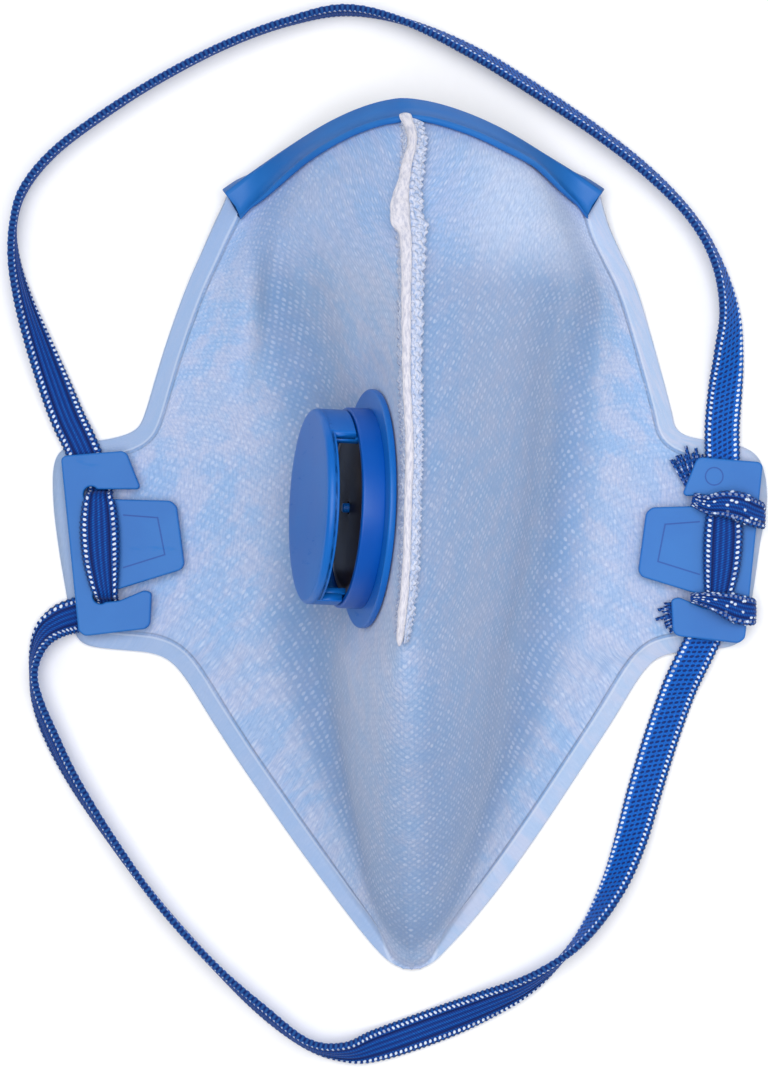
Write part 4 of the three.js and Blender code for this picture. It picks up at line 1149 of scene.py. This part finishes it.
def moulding_effect():
    """Faint scuffs, fine grain and flow marks of a moulded part."""
    group, given, out = effect(
        "moulding_wear",
        [("Vector", "Vector", None), ("Scale", "Float", 1.0)],
        [("Scuffs", "Float"), ("Flow", "Float"), ("Grain", "Float")],
    )
    scaled = node(group, "VectorMath", {0: given["Vector"], "Scale": given["Scale"]}, operation="SCALE")
    streaks = node(group, "VectorMath", {0: scaled.outputs[0], 1: (1.0, 5.0, 1.0)}, operation="MULTIPLY")
    scuffs = noisy(group, streaks.outputs[0], 90.0, 6.0, 0.7)
    group.links.new(ranged(group, scuffs, 0.60, 0.72), out["Scuffs"])
    group.links.new(noisy(group, scaled.outputs[0], 60.0, 3.0, 0.5), out["Flow"])
    group.links.new(noisy(group, scaled.outputs[0], 2600.0, 2.0, 0.5), out["Grain"])
    return group


def surface(name):
    """A new material with its tree and its Principled shader."""
    material = bpy.data.materials.new(name)
    material.use_nodes = True
    tree = material.node_tree
    return material, tree, tree.nodes["Principled BSDF"]


def set_constants(shader, **values):
    for name, value in values.items():
        shader.inputs[name.replace("_", " ")].default_value = value


def srgb(red, green, blue):
    """A colour given as 0 to 255 display values."""
    return tuple((c / 255) ** 2.2 for c in (red, green, blue)) + (1.0,)


def relief(tree, shader, *layers):
    """Feeds heights into Bump nodes: each layer is (height, strength, distance)."""
    normal = None
    for height, strength, distance in layers:
        links = {"Height": height, "Strength": strength, "Distance": distance}
        if normal:
            links["Normal"] = normal
        normal = node(tree, "Bump", links).outputs[0]
    tree.links.new(normal, shader.inputs["Normal"])


def cloth_material(dots, fibres, lines):
    material, tree, shader = surface("facepiece_nonwoven")
    uv = node(tree, "UVMap", uv_map="UVMap").outputs[0]
    point = placed(tree, dots, {"UV": uv, "Pitch": 1.25, "Size": 0.27})
    felt = placed(tree, fibres, {"UV": uv})
    rim = node(tree, "Attribute", attribute_name="rim").outputs["Fac"]
    weave = placed(tree, lines, {"UV": uv})
    x, y, height = node(tree, "SeparateXYZ", {0: node(tree, "TexCoord").outputs["Object"]}).outputs

    def between(value, low, high):
        return ranged(tree, value, low, high)

    def near(value, middle, wide, narrow):
        return between(sums(tree, "ABSOLUTE", sums(tree, "SUBTRACT", value, middle)), wide, narrow)

    clouds = between(felt["Clouds"], 0.40, 0.62)
    nose = between(y, 0.046, 0.060)
    not_nose = sums(tree, "SUBTRACT", 1.0, nose)
    # Painted shade: the steep walls, their foot, the chin and the right wall are darkened by height and side,
    # as the overhead light falls on them at a slant.
    low_wall_shade = times(tree, between(height, 0.034, 0.014), between(height, 0.004, 0.008))
    chin = times(tree, between(y, -0.016, -0.046), between(height, 0.003, 0.012))
    foot = times(tree, between(height, 0.016, 0.010), between(height, 0.0045, 0.0085))
    right_wall_shade = times(tree, between(x, 0.000, 0.005), between(height, 0.012, 0.022))
    dot_share = sums(tree, "MULTIPLY_ADD", point["Chance"], 0.34, 0.04)
    base = tinted(tree, mixed(tree, clouds, srgb(150, 181, 222), srgb(178, 190, 220)), [
        (between(felt["Patches"], 0.42, 0.62), 0.38, (188, 194, 218)),
        # painted shade on the low walls, the chin, the foot of the walls and the right wall
        (times(tree, low_wall_shade, not_nose), 0.50, (112, 142, 182)),
        (chin, 0.42, (120, 146, 188)),
        (foot, 0.40, (96, 132, 182)),
        (times(tree, right_wall_shade, not_nose), 0.46, (96, 130, 180)),
        # painted shade: a bluish shadow cast through the blue nose clip onto the cloth below it
        (nose, 0.35, (136, 176, 236)),
        (times(tree, nose, between(x, 0.006, 0.018)), 0.50, (214, 224, 246)),
        (point["Dots"], dot_share, (212, 222, 242)),
        (between(felt["Fibres"], 0.58, 0.40), 0.34, (116, 150, 200)),
        (weave["Lines"], weave["Strength"], (104, 138, 190)),
    ])
    band = between(rim, 3.45, 3.05)
    pale = mixed(tree, clouds, srgb(166, 186, 215), srgb(180, 190, 214))
    # Painted shade: the pressed border is darker on the left, as if lit from the right.
    pale = mixed(tree, between(x, 0.010, -0.010), pale, srgb(150, 174, 210))
    # Painted shade: the groove round the pressed border is darkened, and the same mask sinks it by bump.
    groove = times(tree, near(rim, 3.55, 0.45, 0.10), between(y, -0.081, -0.073))
    base = tinted(tree, mixed(tree, times(tree, band, 0.80), base, pale), [
        (groove, 0.45, (100, 134, 184)),
        # painted highlight: a thin light line along the inner edge of the pressed border
        (near(rim, 3.05, 0.30, 0.06), 0.30, (220, 228, 242)),
    ])
    tree.links.new(base, shader.inputs["Base Color"])

    off_band = sums(tree, "SUBTRACT", 1.0, times(tree, band, 0.75))
    relief(
        tree, shader,
        (times(tree, groove, -1.0), 0.6, 0.0004),
        (times(tree, point["Dots"], off_band), 0.22, 0.00015),
        (felt["Fibres"], 0.40, 0.00022),
    )
    set_constants(shader, Roughness=0.88, Sheen_Weight=0.25, Sheen_Roughness=0.6, Specular_IOR_Level=0.25)
    return material


def weld_material(dots, fibres):
    """Cloth fused into a translucent, bluish strip."""
    material, tree, shader = surface("fused_weld")
    uv = node(tree, "UVMap", uv_map="UVMap").outputs[0]
    point = placed(tree, dots, {"UV": uv, "Pitch": 1.3, "Size": 0.34})
    felt = placed(tree, fibres, {"UV": uv})
    base = mixed(tree, ranged(tree, felt["Fibres"], 0.38, 0.64), srgb(150, 172, 212), srgb(206, 212, 232))
    base = tinted(tree, base, [(point["Dots"], 0.35, (224, 226, 240))])
    tree.links.new(base, shader.inputs["Base Color"])
    relief(tree, shader, (point["Dots"], 0.6, 0.0003), (felt["Fibres"], 0.5, 0.0003))
    set_constants(shader, Roughness=0.55, Specular_IOR_Level=0.4)
    return material


def filter_material(fibres):
    """White melt-blown layers with frayed fibres."""
    material, tree, shader = surface("filter_fleece")
    uv = node(tree, "UVMap", uv_map="UVMap").outputs[0]
    felt = placed(tree, fibres, {"UV": uv})
    base = mixed(tree, ranged(tree, felt["Fibres"], 0.35, 0.60), srgb(186, 188, 206), srgb(220, 218, 228))
    tree.links.new(base, shader.inputs["Base Color"])
    relief(tree, shader, (felt["Fibres"], 0.5, 0.0003))
    set_constants(shader, Roughness=0.9, Sheen_Weight=0.3, Specular_IOR_Level=0.25)
    return material


# Moulded polypropylene: its colour, the paler colour of its flow marks and scuffs, and how rough it is.
PLASTICS = table("name colour pale roughness", [
    ["clip_polypropylene", (28, 101, 179), (54, 122, 194), 0.42],
    # painted shade: a darker copy of the clip plastic for the raised lines, standing in for the shadow of the
    # moulded step
    ["clip_raised_line", (22, 74, 152), (40, 96, 172), 0.45],
    ["valve_polypropylene", (10, 94, 182), (36, 118, 200), 0.30],
    # painted shade: a darker, deeper blue copy of the valve plastic for its collar
    ["valve_collar", (0, 78, 168), (8, 94, 184), 0.32],
])


def plastic_material(wear, name, colour, pale, roughness):
    material, tree, shader = surface(name)
    marks = placed(tree, wear, {"Vector": node(tree, "TexCoord").outputs["Object"]})
    base = tinted(tree, srgb(*colour), [
        (ranged(tree, marks["Flow"], 0.35, 0.68), 0.35, pale),
        (marks["Scuffs"], 0.25, pale),
    ])
    tree.links.new(base, shader.inputs["Base Color"])
    gloss = sums(tree, "MULTIPLY_ADD", marks["Scuffs"], 0.18, roughness)
    gloss = sums(tree, "MULTIPLY_ADD", marks["Flow"], 0.10, gloss)
    tree.links.new(gloss, shader.inputs["Roughness"])
    relief(tree, shader, (marks["Grain"], 0.10, 0.00005), (marks["Flow"], 0.12, 0.0004))
    set_constants(shader, Specular_IOR_Level=0.30)
    return material


def membrane_material(wear):
    """Dark grey silicone with a glossy skin, painted darker still for the shade under the cap, and a rim made
    paler by painted light from the cap's windows.
    """
    material, tree, shader = surface("membrane_silicone")
    place = node(tree, "TexCoord").outputs["Object"]
    marks = placed(tree, wear, {"Vector": place})
    centre = SEAT_CENTRE + seat_axis() * 0.0045 + MIDDLE
    away = node(tree, "VectorMath", {0: place, 1: tuple(centre)}, operation="DISTANCE").outputs["Value"]
    rim = ranged(tree, away, 0.0144, 0.0156)
    # partly the silicone's own dark grey, partly painted shade under the cap
    base = mixed(tree, ranged(tree, marks["Flow"], 0.4, 0.65), srgb(42, 30, 22), srgb(78, 66, 52))
    # painted light: the rim is paler where light comes in through the cap's windows
    base = mixed(tree, rim, base, srgb(176, 170, 164))
    tree.links.new(base, shader.inputs["Base Color"])
    relief(tree, shader, (marks["Flow"], 0.2, 0.0005))
    set_constants(shader, Roughness=0.45, Specular_IOR_Level=0.12)
    return material


def knit_material(name, bunched=False):
    """Warp-knitted elastic: ribs on one face, holes on the other, and bright stitches inside both edges.
    Painted light and shade lie on its ribs, edge loops, groove and holes. Where it's bunched, the bright
    stitches lie all over it."""
    material, tree, shader = surface(name)
    uv = node(tree, "UVMap", uv_map="UVMap").outputs[0]
    split = node(tree, "SeparateXYZ", {0: uv})
    around, along = split.outputs[0], split.outputs[1]
    width = STRAP_WIDTH / MM
    back = sums(tree, "GREATER_THAN", around, width)
    across = sums(tree, "SUBTRACT", sums(tree, "MODULO", around, width), width / 2)
    edge = sums(tree, "ABSOLUTE", across)
    beat = sums(tree, "FRACT", along)
    row_number = sums(tree, "FLOOR", along)
    cell = node(tree, "CombineXYZ", {0: row_number, 1: sums(tree, "SIGN", across), 2: back}).outputs[0]
    chance = node(tree, "TexWhiteNoise", {"Vector": cell}, noise_dimensions="3D").outputs["Value"]

    def spot(u, v, size_u, size_v, soft=0.35):
        """A soft round mark where u and v, distances from its middle, are both small."""
        a = sums(tree, "DIVIDE", u, size_u)
        b = sums(tree, "DIVIDE", v, size_v)
        square = sums(tree, "ADD", times(tree, a, a), times(tree, b, b))
        return ranged(tree, square, 1.0 + soft, 1.0 - soft)

    lean = times(tree, sums(tree, "SUBTRACT", edge, 2.5), 0.25)
    fleck = spot(sums(tree, "SUBTRACT", edge, 2.52),
                 sums(tree, "SUBTRACT", sums(tree, "ADD", beat, lean), 0.5), 0.36, 0.27)
    fleck = times(tree, fleck, ranged(tree, chance, 0.0, 0.35, 0.55, 1.0))

    if bunched:
        links = {"Vector": uv, "Scale": 0.85, "Randomness": 0.9}
        cells = node(tree, "TexVoronoi", links, voronoi_dimensions="2D")
        pick = node(tree, "SeparateXYZ", {0: cells.outputs["Color"]}).outputs[0]
        loose = times(tree, ranged(tree, cells.outputs["Distance"], 0.34, 0.20),
                     ranged(tree, pick, 0.52, 0.70))
        fleck = sums(tree, "MAXIMUM", loose, times(tree, fleck, 0.35))

    # Painted light and shade: the tops of the ribs and the slanting stitches are lighter, and the hollows
    # between them navy.
    wale = sums(tree, "DIVIDE", across, WALE_PITCH / MM)
    turn = 2 * math.pi
    rib = sums(tree, "COSINE", times(tree, wale, turn))
    slant = sums(tree, "ADD", times(tree, along, 2 * turn), times(tree, wale, turn))
    stitches = times(tree, sums(tree, "COSINE", slant), 0.5)
    ribs = sums(tree, "MULTIPLY_ADD", rib, 0.5, 0.5)
    shade = sums(tree, "MULTIPLY_ADD", stitches, 0.35, sums(tree, "MULTIPLY_ADD", ribs, 0.45, 0.25))
    # Painted shade in the groove between the edge loops and the ribs.
    groove = ranged(tree, sums(tree, "ABSOLUTE", sums(tree, "SUBTRACT", edge, 1.72)), 0.34, 0.10)

    counted = sums(tree, "ADD", wale, 40.0)  # above zero on the whole strap
    stagger = times(tree, sums(tree, "MODULO", sums(tree, "FLOOR", counted), 2.0), 0.5)
    hole_u = sums(tree, "SUBTRACT", sums(tree, "FRACT", counted), 0.5)
    hole_v = sums(tree, "SUBTRACT", sums(tree, "FRACT", sums(tree, "ADD", along, stagger)), 0.5)
    tilt = sums(tree, "MULTIPLY_ADD", hole_u, 0.5, hole_v)
    hole = spot(hole_u, tilt, 0.36, 0.26)
    hole = times(tree, hole, ranged(tree, edge, 2.9, 2.5))

    fuzz = noisy(tree, uv, 3.5, 4.0, 0.65)
    navy = (0, 34, 98)
    # painted light and shade on the ribbed face, with painted highlights on the rib tops
    ribbed = tinted(tree, mixed(tree, shade, srgb(*navy), srgb(0, 76, 164)), [
        (ranged(tree, times(tree, shade, fuzz), 0.28, 0.55), 0.75, (6, 112, 204)),
        (groove, 0.8, (2, 24, 80)),
    ])
    holed = mixed(tree, ranged(tree, fuzz, 0.35, 0.65), srgb(0, 76, 166), srgb(4, 102, 196))
    # painted shade inside the holes of the flat face
    holed = tinted(tree, holed, [(hole, 0.9, (3, 34, 98))])
    base = mixed(tree, back, ribbed, holed)
    loops = ranged(tree, edge, 2.95, 3.1)
    loop_shade = sums(tree, "COSINE", times(tree, along, turn))
    loop_shade = sums(tree, "MULTIPLY_ADD", loop_shade, 0.5, 0.5)
    base = mixed(tree, loops, base, mixed(tree, loop_shade, srgb(*navy), srgb(34, 84, 150)))
    base = mixed(tree, fleck, base, srgb(214, 228, 250))
    tree.links.new(base, shader.inputs["Base Color"])
    height = sums(tree, "MULTIPLY_ADD", back, times(tree, hole, -1.0),
                  times(tree, shade, sums(tree, "SUBTRACT", 1.0, back)))
    relief(tree, shader, (height, 0.8, 0.0002), (fleck, 0.6, 0.0002), (fuzz, 0.35, 0.0001))
    set_constants(shader, Roughness=0.68, Sheen_Weight=0.05, Sheen_Roughness=0.4, Specular_IOR_Level=0.22)
    return material


# ---------------------------------------------------------------- camera, light and floor

def add_camera():
    data = bpy.data.cameras.new("camera")
    data.lens = 138.06
    data.sensor_width = 36.0
    data.clip_start = 0.05
    camera = bpy.data.objects.new("camera", data)
    bpy.context.scene.collection.objects.link(camera)
    eye, aim = Vector((0.020, 0.0, 0.800)) + MIDDLE, Vector((-0.00547, -0.00039, 0.0)) + MIDDLE
    back = (eye - aim).normalized()
    right = Vector((0, 1, 0)).cross(back).normalized()
    basis = Matrix((right, back.cross(right), back)).transposed().to_4x4()
    camera.matrix_world = Matrix.Translation(eye) @ basis
    bpy.context.scene.camera = camera


def add_softbox(name, place, aim, size, power):
    data = bpy.data.lights.new(name, "AREA")
    data.shape = "RECTANGLE"
    data.size, data.size_y = size
    data.energy = power
    lamp = bpy.data.objects.new(name, data)
    bpy.context.scene.collection.objects.link(lamp)
    lamp.location = place
    lamp.rotation_euler = (Vector(aim) - Vector(place)).to_track_quat("-Z", "Y").to_euler()


def add_studio():
    add_softbox("softbox_overhead", (-0.04, 0.08, 1.30), (0, 0, 0.02), (1.1, 1.1), 17.2)
    add_softbox("softbox_right", (0.60, 0.05, 0.45), (0, 0, 0.03), (0.4, 0.6), 0.8)
    world = bpy.data.worlds.new("studio")
    world.use_nodes = True
    set_constants(world.node_tree.nodes["Background"], Color=(0.97, 0.98, 1.0, 1), Strength=0.32)
    bpy.context.scene.world = world
    bpy.context.scene.view_settings.view_transform = "Standard"


def add_floor():
    bm = bmesh.new()
    bmesh.ops.create_grid(bm, x_segments=1, y_segments=1, size=1.5)
    mesh = bpy.data.meshes.new("floor")
    bm.to_mesh(mesh)
    bm.free()
    material, tree, shader = surface("floor_card")
    place = node(tree, "TexCoord").outputs["Object"]
    grain = noisy(tree, place, 300.0, 2.0)
    base = mixed(tree, grain, (0.93, 0.93, 0.94, 1), (0.96, 0.96, 0.97, 1))
    tree.links.new(base, shader.inputs["Base Color"])
    set_constants(shader, Roughness=0.9, Specular_IOR_Level=0.2)
    mesh.materials.append(material)
    floor = bpy.data.objects.new("floor", mesh)
    floor.location.z = -0.0002
    bpy.context.scene.collection.objects.link(floor)


# ---------------------------------------------------------------- the mask

def frayed(name, rows, across, replaced, material, strands=15):
    """A cut end that has come apart into strands, which spread from a narrow root."""
    root, tip = (Vector([row[n] for n in "xyz"]) for row in (rows[0], rows[-1]))
    forward = (tip - root).normalized()
    level = (across - forward * across.dot(forward)).normalized()
    up = Vector((0, 0, 1))
    bm = bmesh.new()
    for k, t in enumerate(spread(-1.0, 1.0, strands - 1)):
        wild = Vector([noise.noise((k * 3.7, n * 9.1, 0.4)) for n in range(3)])
        start = root - forward * 0.0006 + level * (t * rows[0]["width"] * 0.42)
        end = tip + level * (t * rows[-1]["width"] * 0.56) + forward * (wild.x * 0.0022)
        end += level * (wild.y * 0.0012) + up * (abs(wild.z) * 0.0008)
        rings = []
        for step in spread(0.0, 1.0, 7):
            middle = start.lerp(end, step) + up * (0.0003 * math.sin(math.pi * step))
            width, height = 0.00034 - 0.00014 * step, 0.00030 - 0.00014 * step
            rings.append([
                middle + level * x * width * 1.6 + up * y * height for x, y in arc((0, 0), 1.0, 0, 315, 7)
            ])
        swept_tube(bm, rings, arc_chart(rings))
    return finish_piece(bm, name, [material], [replaced])


def build_straps(knitted, bunched):
    build_free_strap("strap_upper_run", UPPER_STRAP, "strap_upper", knitted)
    build_free_strap("strap_lower_run", LOWER_STRAP, "strap_lower", knitted)
    along_x, along_y = Vector((1, 0, 0)), Vector((0, 1, 0))
    for side, hand in HANDS:
        rows = []
        for row in BRIDGE:
            place = on_clip(side, row["x"], row["y"])
            rows.append({**row, "x": place.x, "y": place.y})
        knit("strap_bridge_run_" + hand, short_frames(rows, along_x), "strap_bridge_" + hand, knitted)
    knit("strap_wrap_upper", short_frames(KNOT_UPPER, along_y), "strap_knot_upper", bunched)
    knit("strap_wrap_lower", short_frames(KNOT_LOWER, along_y), "strap_knot_lower", bunched)
    frayed("strap_end_upper", TAIL_UPPER, along_x, "strap_tail_upper", bunched)
    frayed("strap_end_lower", TAIL_LOWER, along_y, "strap_tail_lower", bunched)


def build_mask():
    dots, fibres, wear, lines = (
        thermal_dots_effect(), fibre_effect(), moulding_effect(), slanted_lines_effect(),
    )
    build_straps(knit_material("knitted_elastic"), knit_material("bunched_elastic", bunched=True))
    grid, distances = cloth_grid()
    facepiece = build_facepiece(grid, distances, cloth_material(dots, fibres, lines))
    build_seam_flaps(weld_material(dots, fibres))
    build_seam_core(filter_material(fibres))
    clip_plastic, line_shade_plastic, valve_plastic, collar_shade_plastic = (
        plastic_material(wear, **row) for row in PLASTICS
    )
    build_nose_clip(grid, clip_plastic)
    build_valve_base(valve_plastic, collar_shade_plastic)
    build_valve_membrane(membrane_material(wear))
    build_valve_cap(valve_plastic)
    for side, hand in HANDS:
        build_strap_clip(side, hand, clip_plastic, line_shade_plastic)


add_camera()
add_studio()
add_floor()
build_mask()
